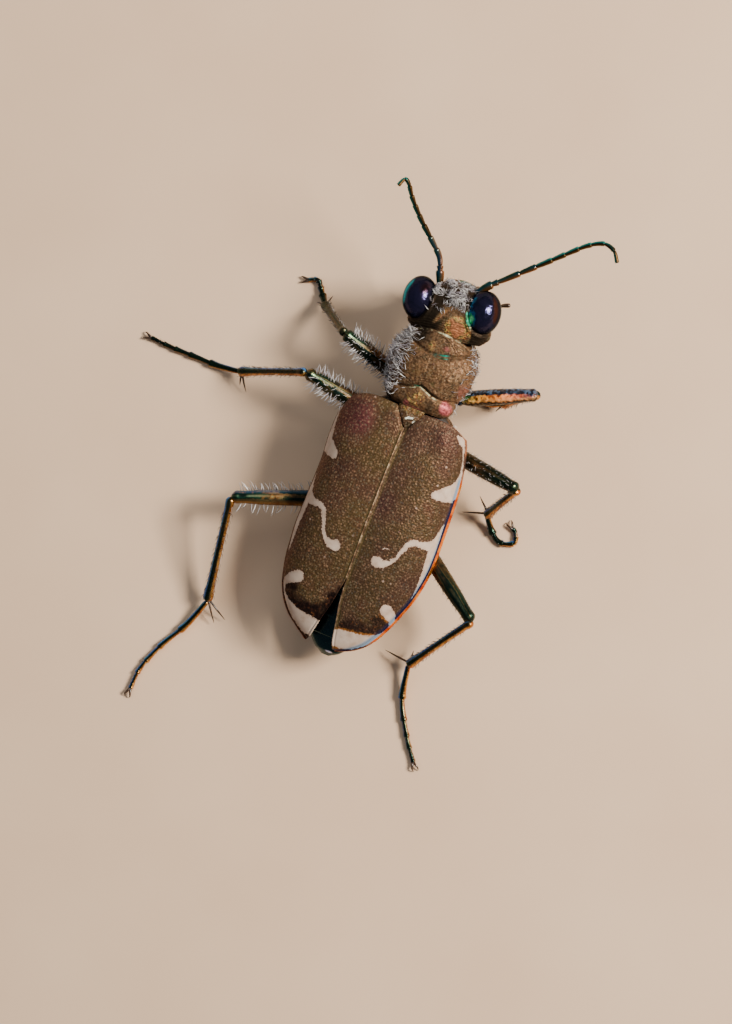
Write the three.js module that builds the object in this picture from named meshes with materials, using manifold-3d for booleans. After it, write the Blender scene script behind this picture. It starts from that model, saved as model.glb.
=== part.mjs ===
// Tiger beetle, a still life-size model in a standing pose.
// Millimetres, +Z up, the head towards -Y and the beetle's own left side towards +X.
// The body is drawn in its own frame: y = 0 and z = 0 lie on the back, where the two wing
// cases meet at their front, and +y runs to the tail. Legs and feelers are drawn above the floor.
import * as THREE from "three";
import { mergeVertices } from "three/addons/utils/BufferGeometryUtils.js";
import Module from "manifold-3d";

const wasm = await Module();
wasm.setup();

const DEGREE = Math.PI / 180;

// Clear space between neighbouring pieces
const GAP = 0.3;

// How the body is carried
const BODY_X = 0.1;
const BODY_HEIGHT = 3.2;
const BODY_PITCH = 5 * DEGREE;
const HEAD_YAW = 8 * DEGREE;

// Wing cases
const ELYTRA_LENGTH = 7.42;
const ELYTRA_THICKNESS = 0.5;
const ELYTRA_DOME_POWER = 2.4;
const ELYTRA_LIP = 0.42;

// Head, measured from the neck
const NECK_Y = -2.9;
const EYE_X = 1.0;
const EYE_Y = -0.78;
const EYE_Z = -0.75;
const EYE_RADII = [0.52, 0.68, 0.62];
const EYE_FACE_X = 0.76;
const EYE_RIM_GAP = 0.2;
const ANTENNA_SOCKET = [0.72, -1.5, -0.95];

// Limb radii
const FEMUR_RADIUS = 0.27;
const TIBIA_RADIUS = 0.24;
const TARSUS_RADIUS = 0.21;
const TOE_RADIUS = 0.14;
const ANTENNA_RADIUS = 0.24;
const KNEE_CLEARANCE = 0.42;
const TOE_JOINTS = 5;

const bodyFrame = new THREE.Matrix4().makeRotationX(-BODY_PITCH).setPosition(BODY_X, 0, BODY_HEIGHT);
const headFrame = new THREE.Matrix4().makeRotationZ(HEAD_YAW).setPosition(0, NECK_Y, 0).premultiply(bodyFrame);

function vector(values) {
  return new THREE.Vector3(values[0], values[1], values[2]);
}

function mirrored(values, side) {
  return [values[0] * side, values[1], values[2]];
}

// A smooth value between named stations, each [place, value]
function profile(stations) {
  const places = stations.map((station) => station[0]);
  const values = stations.map((station) => station[1]);
  const curve = new THREE.CubicInterpolant(places, values, 1);
  return (place) => curve.evaluate(THREE.MathUtils.clamp(place, places[0], places[places.length - 1]))[0];
}

function signedVolume(geometry) {
  const position = geometry.attributes.position;
  const index = geometry.index;
  const corners = [new THREE.Vector3(), new THREE.Vector3(), new THREE.Vector3()];
  let volume = 0;
  for (let i = 0; i < index.count; i += 3) {
    corners.forEach((corner, k) => corner.fromBufferAttribute(position, index.getX(i + k)));
    volume += corners[0].dot(corners[1].cross(corners[2])) / 6;
  }
  return volume;
}

function facedOutward(geometry) {
  if (signedVolume(geometry) > 0) {
    return geometry;
  }
  const index = geometry.index;
  for (let i = 0; i < index.count; i += 3) {
    const first = index.getX(i);
    index.setX(i, index.getX(i + 1));
    index.setX(i + 1, first);
  }
  return geometry;
}

// A closed skin of rings: place(ring, turn) gives the point at a turn of 0 to 1 round one ring.
// The first and the last ring are single points, so the net of a sphere closes both ends.
function closedSkin(rings, around, place) {
  const net = new THREE.SphereGeometry(1, around, rings.length - 1);
  const uv = net.attributes.uv;
  const position = net.attributes.position;
  for (let i = 0; i < position.count; i += 1) {
    const ring = rings[Math.round((1 - uv.getY(i)) * (rings.length - 1))];
    const turn = Math.round(uv.getX(i) * around) / around % 1;
    const point = place(ring, turn);
    position.setXYZ(i, point.x, point.y, point.z);
  }
  net.deleteAttribute("normal");
  net.deleteAttribute("uv");
  return facedOutward(mergeVertices(net, 1e-5));
}

function toSolid(geometry) {
  const plain = geometry.clone();
  Object.keys(plain.attributes).filter((name) => name !== "position").forEach((name) => plain.deleteAttribute(name));
  const merged = mergeVertices(plain, 1e-5);
  const vertProperties = new Float32Array(merged.attributes.position.array);
  const triVerts = new Uint32Array(merged.index.array);
  return new wasm.Manifold(new wasm.Mesh({ numProp: 3, vertProperties, triVerts }));
}

// Only the largest closed surface of a cut or fused solid is kept
function toGeometry(solid) {
  const pieces = solid.decompose().sort((a, b) => b.volume() - a.volume());
  const mesh = pieces[0].getMesh();
  const geometry = new THREE.BufferGeometry();
  geometry.setAttribute("position", new THREE.BufferAttribute(new Float32Array(mesh.vertProperties), 3));
  geometry.setIndex(new THREE.BufferAttribute(new Uint32Array(mesh.triVerts), 1));
  return geometry;
}

function fused(geometries) {
  return toGeometry(geometries.map(toSolid).reduce((whole, piece) => whole.add(piece)));
}

function cutBy(geometry, cutters) {
  return toGeometry(cutters.map(toSolid).reduce((whole, cutter) => whole.subtract(cutter), toSolid(geometry)));
}

function ellipsoid(centre, radii, around = 16, along = 10) {
  const ball = new THREE.SphereGeometry(1, around, along);
  ball.scale(radii[0], radii[1], radii[2]);
  ball.translate(centre[0], centre[1], centre[2]);
  return ball;
}

function box(low, high) {
  const block = new THREE.BoxGeometry(high[0] - low[0], high[1] - low[1], high[2] - low[2]);
  block.translate((low[0] + high[0]) / 2, (low[1] + high[1]) / 2, (low[2] + high[2]) / 2);
  return block;
}

// A rounded trunk piece: half width, back and belly follow y, and each section is a superellipse
function trunk(shape, stations, around) {
  const rings = [{ y: stations[0], scale: 0 }];
  stations.forEach((y) => rings.push({ y, scale: 1 }));
  rings.push({ y: stations[stations.length - 1], scale: 0 });
  return closedSkin(rings, around, (ring, turn) => {
    const angle = turn * 2 * Math.PI;
    const back = shape.back(ring.y);
    const belly = shape.belly(ring.y);
    const waist = THREE.MathUtils.lerp(belly, back, shape.waist);
    const side = Math.sign(Math.cos(angle)) * Math.abs(Math.cos(angle)) ** (2 / shape.power);
    const rise = Math.sign(Math.sin(angle)) * Math.abs(Math.sin(angle)) ** (2 / shape.power);
    const reach = rise > 0 ? back - waist : waist - belly;
    return new THREE.Vector3(side * shape.width(ring.y) * ring.scale, ring.y, waist + rise * reach * ring.scale);
  });
}

// A limb length along a smooth path, with blunt rounded ends and flats where it rests on the floor
function limb(points, radiusAt, sides = 10, steps = 6, floor = -Infinity) {
  const path = new THREE.CatmullRomCurve3(points, false, "centripetal");
  const length = path.getLength();
  const capStart = Math.min(0.6 * radiusAt(0), length * 0.2) / length;
  const capEnd = Math.min(0.6 * radiusAt(1), length * 0.2) / length;
  const rings = [{ s: 0, scale: 0 }, { s: 0, scale: 0.62 }, { s: capStart * 0.45, scale: 0.9 }];
  for (let i = 0; i <= steps; i += 1) {
    rings.push({ s: THREE.MathUtils.lerp(capStart, 1 - capEnd, i / steps), scale: 1 });
  }
  rings.push({ s: 1 - capEnd * 0.45, scale: 0.9 }, { s: 1, scale: 0.62 }, { s: 1, scale: 0 });
  const frames = rings.map((ring) => frameAt(path, ring.s));
  carryFrames(frames);
  rings.forEach((ring, i) => Object.assign(ring, frames[i]));
  return closedSkin(rings, sides, (ring, turn) => {
    const angle = turn * 2 * Math.PI;
    const radius = radiusAt(ring.s) * ring.scale;
    const point = ring.centre.clone();
    point.addScaledVector(ring.across, Math.cos(angle) * radius);
    point.addScaledVector(ring.up, Math.sin(angle) * radius);
    point.z = Math.max(point.z, floor);
    return point;
  });
}

function frameAt(path, s) {
  const centre = path.getPointAt(s);
  const tangent = path.getTangentAt(s);
  return { centre, tangent };
}

// Each ring's sideways direction is carried on from the ring before it, so the skin doesn't twist
function carryFrames(frames) {
  const worldUp = new THREE.Vector3(0, 0, 1);
  let across = new THREE.Vector3().crossVectors(frames[0].tangent, worldUp);
  if (across.length() < 0.1) {
    across = new THREE.Vector3(1, 0, 0);
  }
  frames.forEach((frame) => {
    across.addScaledVector(frame.tangent, -across.dot(frame.tangent)).normalize();
    frame.across = across.clone();
    frame.up = new THREE.Vector3().crossVectors(frame.across, frame.tangent).normalize();
  });
}

// The radius of a limb that narrows at the ring between one joint and the next
function jointed(radiusAt, joints) {
  return (s) => radiusAt(s) * (0.84 + 0.16 * Math.abs(Math.sin(Math.PI * joints * s)));
}

function towards(from, to, distance) {
  return from.clone().addScaledVector(to.clone().sub(from).normalize(), distance);
}

// Wing cases: outline, dome and the edge along the seam
const elytronOuter = profile([
  [0, 1.88], [0.5, 2.0], [1.6, 2.12], [3.2, 2.18], [4, 2.2], [5, 2.1], [5.85, 1.88],
  [6.3, 1.7], [6.85, 1.36], [7.15, 1.02], [7.35, 0.64], [ELYTRA_LENGTH, 0.42],
]);
const elytronInner = profile([[0, GAP / 2], [6.3, GAP / 2], [7.2, 0.2], [ELYTRA_LENGTH, 0.32]]);
// The left wing case stands out a little further at the rear than the right one
const elytronLean = profile([[0, 0.04], [3.5, 0.02], [4.6, 0.05], [6.3, 0.16], [ELYTRA_LENGTH, 0.06]]);
const elytronTop = profile([[0, 0], [1.5, 0.12], [3, 0.12], [4.5, -0.02], [6, -0.3], [7, -0.62], [ELYTRA_LENGTH, -0.82]]);
const elytronRim = profile([[0, -1.0], [1, -1.18], [5, -1.2], [6.5, -1.17], [ELYTRA_LENGTH, -1.15]]);
const elytronFront = profile([[0, 0.5], [0.16, 0.1], [0.32, -0.26], [0.7, -0.2], [0.94, 0.05], [1, 0.3]]);
const elytronThickness = profile([[0, ELYTRA_THICKNESS], [6, ELYTRA_THICKNESS], [ELYTRA_LENGTH, 0.3]]);

function dome(share) {
  return 1 - (1 - Math.min(share, 1) ** ELYTRA_DOME_POWER) ** (1 / ELYTRA_DOME_POWER);
}

function elytron(side) {
  const stations = [0, 0.03, 0.08, 0.15, 0.23, 0.32, 0.42, 0.52, 0.62, 0.71, 0.79, 0.86, 0.91, 0.95, 0.98, 1];
  const rings = [{ v: 0, scale: 0 }];
  stations.forEach((v) => rings.push({ v, scale: 1 }));
  rings.push({ v: 1, scale: 0 });
  return closedSkin(rings, 28, (ring, turn) => {
    const onTop = turn < 0.5;
    const share = Math.sin((onTop ? turn * 2 : 2 - turn * 2) * Math.PI / 2);
    const y = ring.v * ELYTRA_LENGTH;
    const inner = elytronInner(y);
    const edge = elytronOuter(y) + side * elytronLean(y);
    const lip = Math.min(ELYTRA_LIP, (edge - inner) * 0.4);
    const outer = edge - (onTop ? 0 : lip);
    const top = elytronTop(y) - (onTop ? 0 : elytronThickness(y));
    const x = THREE.MathUtils.lerp(inner, outer, share);
    const z = THREE.MathUtils.lerp(top, elytronRim(y), dome(x / outer));
    const front = elytronFront(x / edge) * (1 - ring.v) ** 6;
    const middle = new THREE.Vector3((inner + edge) / 2, y - 0.1, elytronTop(y) - 0.4);
    const point = new THREE.Vector3(x, y + front, z).lerp(middle, 1 - ring.scale);
    point.x *= side;
    return point;
  });
}

function scutellum() {
  const outline = new THREE.Shape();
  outline.moveTo(-0.26, -0.28);
  outline.lineTo(0.26, -0.28);
  outline.lineTo(0, 0.16);
  outline.closePath();
  const plate = new THREE.ExtrudeGeometry(outline, { depth: 0.5, bevelEnabled: false });
  plate.translate(0, 0, -0.52);
  return plate;
}

const thoraxShape = {
  width: profile([[-0.3, 1.2], [0.1, 1.4], [1, 1.48], [2.95, 1.5]]),
  back: profile([[-0.3, -0.86], [1.5, -0.76], [2.95, -0.8]]),
  belly: profile([[-0.3, -1.5], [0.1, -1.95], [0.6, -2.05], [2.95, -2.1]]),
  waist: 0.5,
  power: 2.6,
};

// Hips under the middle of the body, at the beetle's left: [x, y, z], then their radii
const FRONT_HIP = { centre: [0.45, -0.85, -1.9], radii: [0.42, 0.38, 0.36] };
const MIDDLE_HIP = { centre: [0.55, 0.5, -2.0], radii: [0.45, 0.38, 0.34] };
const HIND_HIP = { centre: [0.6, 2.62, -1.98], radii: [0.6, 0.4, 0.32] };

function hipPair(hip) {
  return [1, -1].map((side) => ellipsoid(mirrored(hip.centre, side), hip.radii, 14, 8));
}

function pterothorax() {
  const body = trunk(thoraxShape, [-0.3, -0.15, 0.1, 0.5, 1.1, 1.7, 2.3, 2.95], 22);
  return fused([body, ...hipPair(MIDDLE_HIP), ...hipPair(HIND_HIP)]);
}

const abdomenShape = {
  width: profile([[3.25, 1.48], [4.2, 1.5], [5.5, 1.36], [6.4, 1.08], [7.1, 0.7], [7.5, 0.4], [7.68, 0.2]]),
  back: profile([[3.25, -0.8], [5, -0.95], [6, -1.12], [7, -1.28], [7.68, -1.45]]),
  belly: profile([[3.25, -2.1], [4, -2.08], [5.5, -1.98], [6.6, -1.84], [7.68, -1.66]]),
  waist: 0.5,
  power: 2.3,
};

// The belly plates lap over one another: each ends in a small step
function abdomen() {
  const plateEnds = [3.7, 4.4, 5.1, 5.8, 6.5];
  const stations = [3.25, ...plateEnds.flatMap((y) => [y - 0.08, y]), 7.05, 7.45, 7.68];
  const body = trunk(abdomenShape, stations, 22);
  const position = body.attributes.position;
  for (let i = 0; i < position.count; i += 1) {
    const onStep = plateEnds.some((y) => Math.abs(position.getY(i) - y) < 1e-4);
    if (onStep && position.getZ(i) < -1.5) {
      position.setZ(i, position.getZ(i) + 0.06);
    }
  }
  return body;
}

const prothoraxShape = {
  width: profile([[-2.72, 1.02], [-2.5, 1.2], [-2, 1.3], [-1.5, 1.3], [-1, 1.17], [-0.75, 1.02], [-0.6, 0.96]]),
  back: profile([
    [-2.72, -0.24], [-2.45, -0.1], [-2.2, -0.18], [-1.9, -0.02], [-1.5, 0.02], [-1.15, -0.05], [-0.98, -0.17], [-0.8, -0.08], [-0.6, -0.14],
  ]),
  belly: profile([[-2.72, -1.7], [-2, -1.92], [-1, -1.95], [-0.6, -1.85]]),
  waist: 0.5,
  power: 2.3,
};

function prothorax() {
  const stations = [-2.72, -2.6, -2.4, -2.2, -2.05, -1.8, -1.5, -1.2, -0.98, -0.84, -0.7, -0.6];
  const body = trunk(prothoraxShape, stations, 24);
  return fused([body, ...hipPair(FRONT_HIP)]);
}

// Head: y runs from the neck, where the head turns, to the face
const headShape = {
  width: profile([[-1.5, 0.62], [-1.4, 0.8], [-1.1, 0.92], [-0.7, 0.98], [-0.35, 1.02], [-0.12, 0.88]]),
  back: profile([[-1.5, -0.75], [-1.3, -0.45], [-0.9, -0.25], [-0.4, -0.28], [-0.12, -0.42]]),
  belly: profile([[-1.5, -1.45], [-1.3, -1.7], [-0.6, -1.74], [-0.12, -1.55]]),
  waist: 0.5,
  power: 2.5,
};

function eyeBall(side, grow, face) {
  const radii = EYE_RADII.map((radius) => radius + grow);
  const ball = ellipsoid([EYE_X * side, EYE_Y, EYE_Z], radii, 20, 14);
  const inner = side > 0 ? box([-3, -4, -4], [face, 4, 4]) : box([-face, -4, -4], [3, 4, 4]);
  return cutBy(ball, [inner]);
}

function head() {
  const body = trunk(headShape, [-1.5, -1.4, -1.25, -1.05, -0.8, -0.55, -0.3, -0.12], 22);
  return cutBy(body, [1, -1].map((side) => eyeBall(side, EYE_RIM_GAP, EYE_FACE_X - GAP)));
}

// Upper lip, hung under the face with three blunt teeth on its lower edge
function labrum() {
  const outline = new THREE.Shape();
  outline.moveTo(-0.6, 0);
  outline.lineTo(-0.55, -0.34);
  outline.lineTo(-0.3, -0.4);
  outline.lineTo(-0.2, -0.52);
  outline.lineTo(-0.1, -0.42);
  outline.lineTo(0, -0.56);
  outline.lineTo(0.1, -0.42);
  outline.lineTo(0.2, -0.52);
  outline.lineTo(0.3, -0.4);
  outline.lineTo(0.55, -0.34);
  outline.lineTo(0.6, 0);
  outline.closePath();
  const plate = new THREE.ExtrudeGeometry(outline, { depth: 0.4, bevelEnabled: false });
  plate.rotateX(80 * DEGREE);
  plate.translate(0, -1.0, -1.98);
  return plate;
}

// A jaw curves down and inwards from the cheek, with one tooth on its inner edge
function mandible(side) {
  const blade = limb(
    [[0.58, -0.62, -2.14], [0.68, -0.9, -2.45], [0.55, -1.2, -2.78], [0.2, -1.34, -3.0]].map((p) => vector(mirrored(p, side))),
    profile([[0, 0.25], [0.4, 0.22], [0.8, 0.14], [1, 0.08]]), 8, 6,
  );
  const tooth = limb(
    [[0.55, -1.08, -2.68], [0.26, -1.1, -2.74]].map((p) => vector(mirrored(p, side))),
    profile([[0, 0.14], [1, 0.06]]), 6, 2,
  );
  return fused([blade, tooth]);
}

// Feeler at the side of the mouth
function palp(side) {
  return limb(
    [[0.5, -0.2, -2.1], [0.95, -0.35, -2.45], [1.2, -0.75, -2.6], [1.22, -1.15, -2.45]].map((p) => vector(mirrored(p, side))),
    profile([[0, 0.24], [0.6, 0.2], [1, 0.12]]), 8, 5,
  );
}

// Feelers, as points above the floor from near the socket to the tip
const ANTENNA_LEFT = [[1.04, -4.85, 2.75], [1.41, -5.25, 3.05], [1.89, -5.7, 3.4], [2.33, -6.2, 3.75], [2.56, -6.48, 3.95], [2.76, -6.54, 4.02], [2.86, -6.36, 4.06]];
const ANTENNA_RIGHT = [[-1.05, -5.02, 2.75], [-1.98, -5.85, 3.1], [-2.53, -6.34, 3.35], [-3.04, -6.79, 3.5], [-3.5, -7.03, 3.6], [-3.86, -6.95, 3.6], [-4.09, -6.64, 3.55]];
const ANTENNA_CUTS = [0, 0.3, 0.66, 1];
const ANTENNA_JOINTS = [4, 3, 4];

function antennaPieces(side, points) {
  const socket = vector(mirrored(ANTENNA_SOCKET, side)).applyMatrix4(headFrame);
  const base = towards(socket, vector(points[0]), GAP * 0.6);
  const path = new THREE.CatmullRomCurve3([base, ...points.map(vector)], false, "centripetal");
  const trim = GAP / 2 / path.getLength();
  const radiusAt = profile([[0, ANTENNA_RADIUS], [0.75, ANTENNA_RADIUS * 0.9], [0.92, 0.14], [1, 0.08]]);
  return [0, 1, 2].map((k) => {
    const from = ANTENNA_CUTS[k] + (k > 0 ? trim : 0);
    const to = ANTENNA_CUTS[k + 1] - (k < 2 ? trim : 0);
    const stretch = [0, 0.2, 0.4, 0.6, 0.8, 1].map((s) => path.getPointAt(THREE.MathUtils.lerp(from, to, s)));
    const beads = jointed((s) => radiusAt(THREE.MathUtils.lerp(from, to, s)), ANTENNA_JOINTS[k]);
    return limb(stretch, beads, 8, 3 * ANTENNA_JOINTS[k]);
  });
}

// Legs: knee, ankle and foot points are above the floor, in millimetres
const LEGS = {
  front_left: { side: 1, hip: FRONT_HIP, knee: [3.02, -1.7, 2.2], ankle: [4.19, -2.31, 0.5], foot: [[4.4, -2.6, 0.2], [4.66, -2.99, 0.17], [4.9, -2.93, 0.14]], spurs: 0 },
  front_right: { side: -1, hip: FRONT_HIP, knee: [-3.14, -2.13, 2.1], ankle: [-2.02, -1.51, 0.5], foot: [[-1.6, -1.37, 0.2], [-1.1, -1.4, 0.18], [-0.6, -1.7, 0.16], [-0.3, -2.1, 0.14]], spurs: 0 },
  middle_left: { side: 1, hip: MIDDLE_HIP, knee: [3.68, -0.18, 2.1], ankle: [5.88, 0.54, 0.45], foot: [[6.64, 0.62, 0.19], [7.31, 0.62, 0.18], [8.14, 0.62, 0.16], [8.85, 0.58, 0.14]], spurs: 1 },
  middle_right: { side: -1, hip: MIDDLE_HIP, knee: [-3.65, 0.75, 2.1], ankle: [-2.82, 1.78, 0.5], foot: [[-2.98, 2.08, 0.2], [-3.42, 2.42, 0.17], [-3.85, 2.2, 0.15], [-3.82, 1.98, 0.14]], spurs: -1 },
  hind_left: { side: 1, hip: HIND_HIP, knee: [4.47, 4.16, 1.6], ankle: [4.16, 7.37, 0.45], foot: [[4.49, 8.37, 0.2], [4.93, 9.43, 0.17], [5.25, 10.5, 0.14]], spurs: -1 },
  hind_right: { side: -1, hip: HIND_HIP, knee: [-3.85, 4.94, 2.1], ankle: [-2.29, 6.88, 0.45], foot: [[-2.48, 7.94, 0.2], [-3.02, 9.02, 0.17], [-3.4, 9.6, 0.14]], spurs: 1 },
};

function hipFace(leg) {
  const centre = vector(mirrored(leg.hip.centre, leg.side)).applyMatrix4(bodyFrame);
  const aim = vector(leg.knee).sub(centre);
  const level = new THREE.Vector3(aim.x, aim.y, 0).normalize();
  const reach = Math.hypot(level.x * leg.hip.radii[0], level.y * leg.hip.radii[1]);
  return centre.addScaledVector(level, reach).add(new THREE.Vector3(0, 0, -0.12));
}

function femur(leg) {
  const hip = hipFace(leg);
  const knee = vector(leg.knee);
  const start = towards(hip, new THREE.Vector3(knee.x, knee.y, hip.z), GAP);
  const end = towards(knee, start, 0.05);
  const middle = start.clone().lerp(end, 0.5);
  return limb([start, middle, end], profile([[0, 0.25], [0.25, FEMUR_RADIUS], [0.7, 0.24], [0.93, 0.23], [1, 0.24]]), 10, 7);
}

// Two spurs stand out at the end of the shin
function spurPair(leg, end, direction) {
  const outward = new THREE.Vector3().crossVectors(direction, new THREE.Vector3(0, 0, 1)).normalize();
  return [1, -1].map((turn) => {
    const root = towards(end, end.clone().sub(direction), 0.3);
    const lean = direction.clone().multiplyScalar(0.35).addScaledVector(outward, turn * 0.5);
    lean.z = Math.max(lean.z, -0.2);
    return limb([root, root.clone().add(lean.multiplyScalar(0.6)), root.clone().addScaledVector(lean, 1.6)], profile([[0, 0.12], [1, 0.06]]), 6, 2);
  });
}

function tibia(leg) {
  const knee = vector(leg.knee);
  const ankle = vector(leg.ankle);
  const start = towards(knee, ankle, KNEE_CLEARANCE);
  const end = towards(ankle, knee, GAP / 2);
  const shin = limb([start, start.clone().lerp(end, 0.5), end], profile([[0, 0.22], [0.2, 0.23], [1, TIBIA_RADIUS]]), 8, 5);
  const direction = end.clone().sub(start).normalize();
  return leg.spurs === 0 ? shin : fused([shin, ...spurPair(leg, end, direction)]);
}

// Foot: it lies along the floor on small flats and ends in two claws
function tarsus(leg) {
  const ankle = vector(leg.ankle);
  const toes = leg.foot.map(vector);
  const start = towards(ankle, toes[0], GAP / 2);
  const radiusAt = jointed(profile([[0, TARSUS_RADIUS], [0.4, 0.2], [1, TOE_RADIUS]]), TOE_JOINTS);
  const foot = limb([start, ...toes], radiusAt, 8, 3 * TOE_JOINTS, 0);
  const tip = toes[toes.length - 1];
  const onward = tip.clone().sub(toes[toes.length - 2]).setZ(0).normalize();
  const sideways = new THREE.Vector3(-onward.y, onward.x, 0);
  const claws = [1, -1].map((turn) => {
    const root = tip.clone().addScaledVector(onward, -0.12);
    const bend = tip.clone().addScaledVector(onward, 0.16).addScaledVector(sideways, turn * 0.16);
    const point = tip.clone().addScaledVector(onward, 0.34).addScaledVector(sideways, turn * 0.18);
    point.z = 0.07;
    return limb([root, bend, point], profile([[0, 0.1], [1, 0.05]]), 6, 3, 0);
  });
  return fused([foot, ...claws]);
}

const finish = {
  elytra: () => new THREE.MeshStandardMaterial({ color: 0x64503f, roughness: 0.45, metalness: 0.6 }),
  bronze: () => new THREE.MeshStandardMaterial({ color: 0x6b5236, roughness: 0.4, metalness: 0.7 }),
  eye: () => new THREE.MeshStandardMaterial({ color: 0x0d1016, roughness: 0.12, metalness: 0.1 }),
  ivory: () => new THREE.MeshStandardMaterial({ color: 0xc8b9a4, roughness: 0.5, metalness: 0 }),
  belly: () => new THREE.MeshStandardMaterial({ color: 0x17343a, roughness: 0.25, metalness: 0.7 }),
  leg: () => new THREE.MeshStandardMaterial({ color: 0x1d2e2b, roughness: 0.3, metalness: 0.7 }),
  antenna: () => new THREE.MeshStandardMaterial({ color: 0x2a2622, roughness: 0.5, metalness: 0.2 }),
  jaw: () => new THREE.MeshStandardMaterial({ color: 0x3a2a1c, roughness: 0.3, metalness: 0.2 }),
};

function named(name, geometry, material) {
  geometry.computeVertexNormals();
  const mesh = new THREE.Mesh(geometry, material());
  mesh.name = name;
  return mesh;
}

function headGroup() {
  const group = new THREE.Group();
  group.position.set(0, NECK_Y, 0);
  group.rotation.z = HEAD_YAW;
  group.add(named("head", head(), finish.bronze));
  group.add(named("labrum", labrum(), finish.ivory));
  [["left", 1], ["right", -1]].forEach(([word, side]) => {
    group.add(named(`eye_${word}`, eyeBall(side, 0, EYE_FACE_X), finish.eye));
    group.add(named(`mandible_${word}`, mandible(side), finish.jaw));
    group.add(named(`palp_${word}`, palp(side), finish.jaw));
  });
  return group;
}

function bodyGroup() {
  const group = new THREE.Group();
  group.position.set(BODY_X, 0, BODY_HEIGHT);
  group.rotation.x = -BODY_PITCH;
  group.add(named("elytron_left", elytron(1), finish.elytra));
  group.add(named("elytron_right", elytron(-1), finish.elytra));
  group.add(named("scutellum", scutellum(), finish.bronze));
  group.add(named("prothorax", prothorax(), finish.bronze));
  group.add(named("pterothorax", pterothorax(), finish.belly));
  group.add(named("abdomen", abdomen(), finish.belly));
  group.add(headGroup());
  return group;
}

function limbGroup() {
  const group = new THREE.Group();
  Object.entries(LEGS).forEach(([word, leg]) => {
    group.add(named(`femur_${word}`, femur(leg), finish.leg));
    group.add(named(`tibia_${word}`, tibia(leg), finish.leg));
    group.add(named(`tarsus_${word}`, tarsus(leg), finish.leg));
  });
  [["left", 1, ANTENNA_LEFT], ["right", -1, ANTENNA_RIGHT]].forEach(([word, side, points]) => {
    antennaPieces(side, points).forEach((geometry, k) => {
      group.add(named(`antenna_${word}_${k + 1}`, geometry, finish.antenna));
    });
  });
  return group;
}

// The origin is the middle of the model's footprint, on the floor
function beetle() {
  const model = new THREE.Group();
  model.add(bodyGroup(), limbGroup());
  model.updateMatrixWorld(true);
  const bounds = new THREE.Box3().setFromObject(model, true);
  model.position.set(-(bounds.min.x + bounds.max.x) / 2, -(bounds.min.y + bounds.max.y) / 2, -bounds.min.z);
  const whole = new THREE.Group();
  whole.add(model);
  return whole;
}

export default beetle();
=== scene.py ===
"""A tiger beetle standing still: pitted bronze wing cases with ivory bands, metallic legs and white hairs."""

import math

import bpy
import numpy as np
from mathutils import Matrix, Vector


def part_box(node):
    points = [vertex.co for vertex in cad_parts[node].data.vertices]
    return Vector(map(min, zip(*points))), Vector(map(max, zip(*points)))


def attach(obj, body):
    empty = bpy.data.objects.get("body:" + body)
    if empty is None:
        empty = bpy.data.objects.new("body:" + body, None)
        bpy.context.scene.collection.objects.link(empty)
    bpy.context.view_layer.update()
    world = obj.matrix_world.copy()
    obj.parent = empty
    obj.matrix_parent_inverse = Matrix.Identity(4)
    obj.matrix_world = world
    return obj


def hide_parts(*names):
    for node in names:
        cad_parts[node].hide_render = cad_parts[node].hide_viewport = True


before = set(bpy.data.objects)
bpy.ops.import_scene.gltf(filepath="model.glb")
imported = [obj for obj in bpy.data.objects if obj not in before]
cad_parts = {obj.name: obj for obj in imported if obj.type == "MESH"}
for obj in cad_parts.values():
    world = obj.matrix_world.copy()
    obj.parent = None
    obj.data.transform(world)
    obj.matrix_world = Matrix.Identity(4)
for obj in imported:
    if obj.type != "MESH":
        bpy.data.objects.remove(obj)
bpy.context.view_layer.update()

# Driving dimensions, in millimetres
MM = 0.001
BODY_PLACE = (0.1, 0.0, 3.2)
BODY_TILT = math.radians(-5)
HEAD_PLACE = (0.0, -2.9, 0.0)
HEAD_TURN = math.radians(8)
SCUTELLUM_CORNER = (-0.28, -0.52)

# Wing cases: y runs from their front edge to the tail, x outwards from the seam between them
WING_LENGTH = 7.42
WING_ROWS = 380
WING_COLUMNS = 140
UNDER_COLUMNS = 24
DOME_POWER = 2.4
SHELL = 0.09
PIT_SPACING = 0.07
PIT_DEPTH = 0.012
EDGE_FOLD = 0.22
EDGE_GROOVE = 0.41

# Ivory bands as rounded strokes: distance from the seam along the shell, y, and half width
LEFT_SHOULDER_BAND = (
    ((2.3, 0.2, 0.03), (2.42, 0.6, 0.1), (2.47, 1.0, 0.19), (2.45, 1.35, 0.27)),
    ((2.4, 1.6, 0.3), (2.03, 1.74, 0.22), (1.82, 1.82, 0.15)),
)
RIGHT_SHOULDER_BAND = (
    ((2.05, 0.3, 0.03), (2.25, 0.6, 0.07), (2.4, 1.0, 0.09), (2.38, 1.4, 0.22)),
    ((2.32, 1.62, 0.33), (1.97, 1.75, 0.23), (1.66, 1.85, 0.14)),
    ((1.64, -0.02, 0.04), (1.84, 0.08, 0.1), (2.03, 0.2, 0.08), (2.2, 0.38, 0.03)),
)
MIDDLE_BAND = (
    ((2.42, 2.65, 0.04), (2.38, 3.1, 0.19), (2.33, 3.6, 0.22), (2.33, 4.1, 0.17), (2.31, 4.6, 0.12),
     (2.26, 5.05, 0.04)),
    ((2.2, 3.34, 0.2), (1.92, 3.4, 0.11), (1.6, 3.4, 0.09), (1.42, 3.5, 0.09), (1.28, 3.8, 0.06),
     (1.2, 4.06, 0.05), (1.03, 4.28, 0.07), (0.84, 4.37, 0.13), (0.69, 4.35, 0.18)),
)
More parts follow.
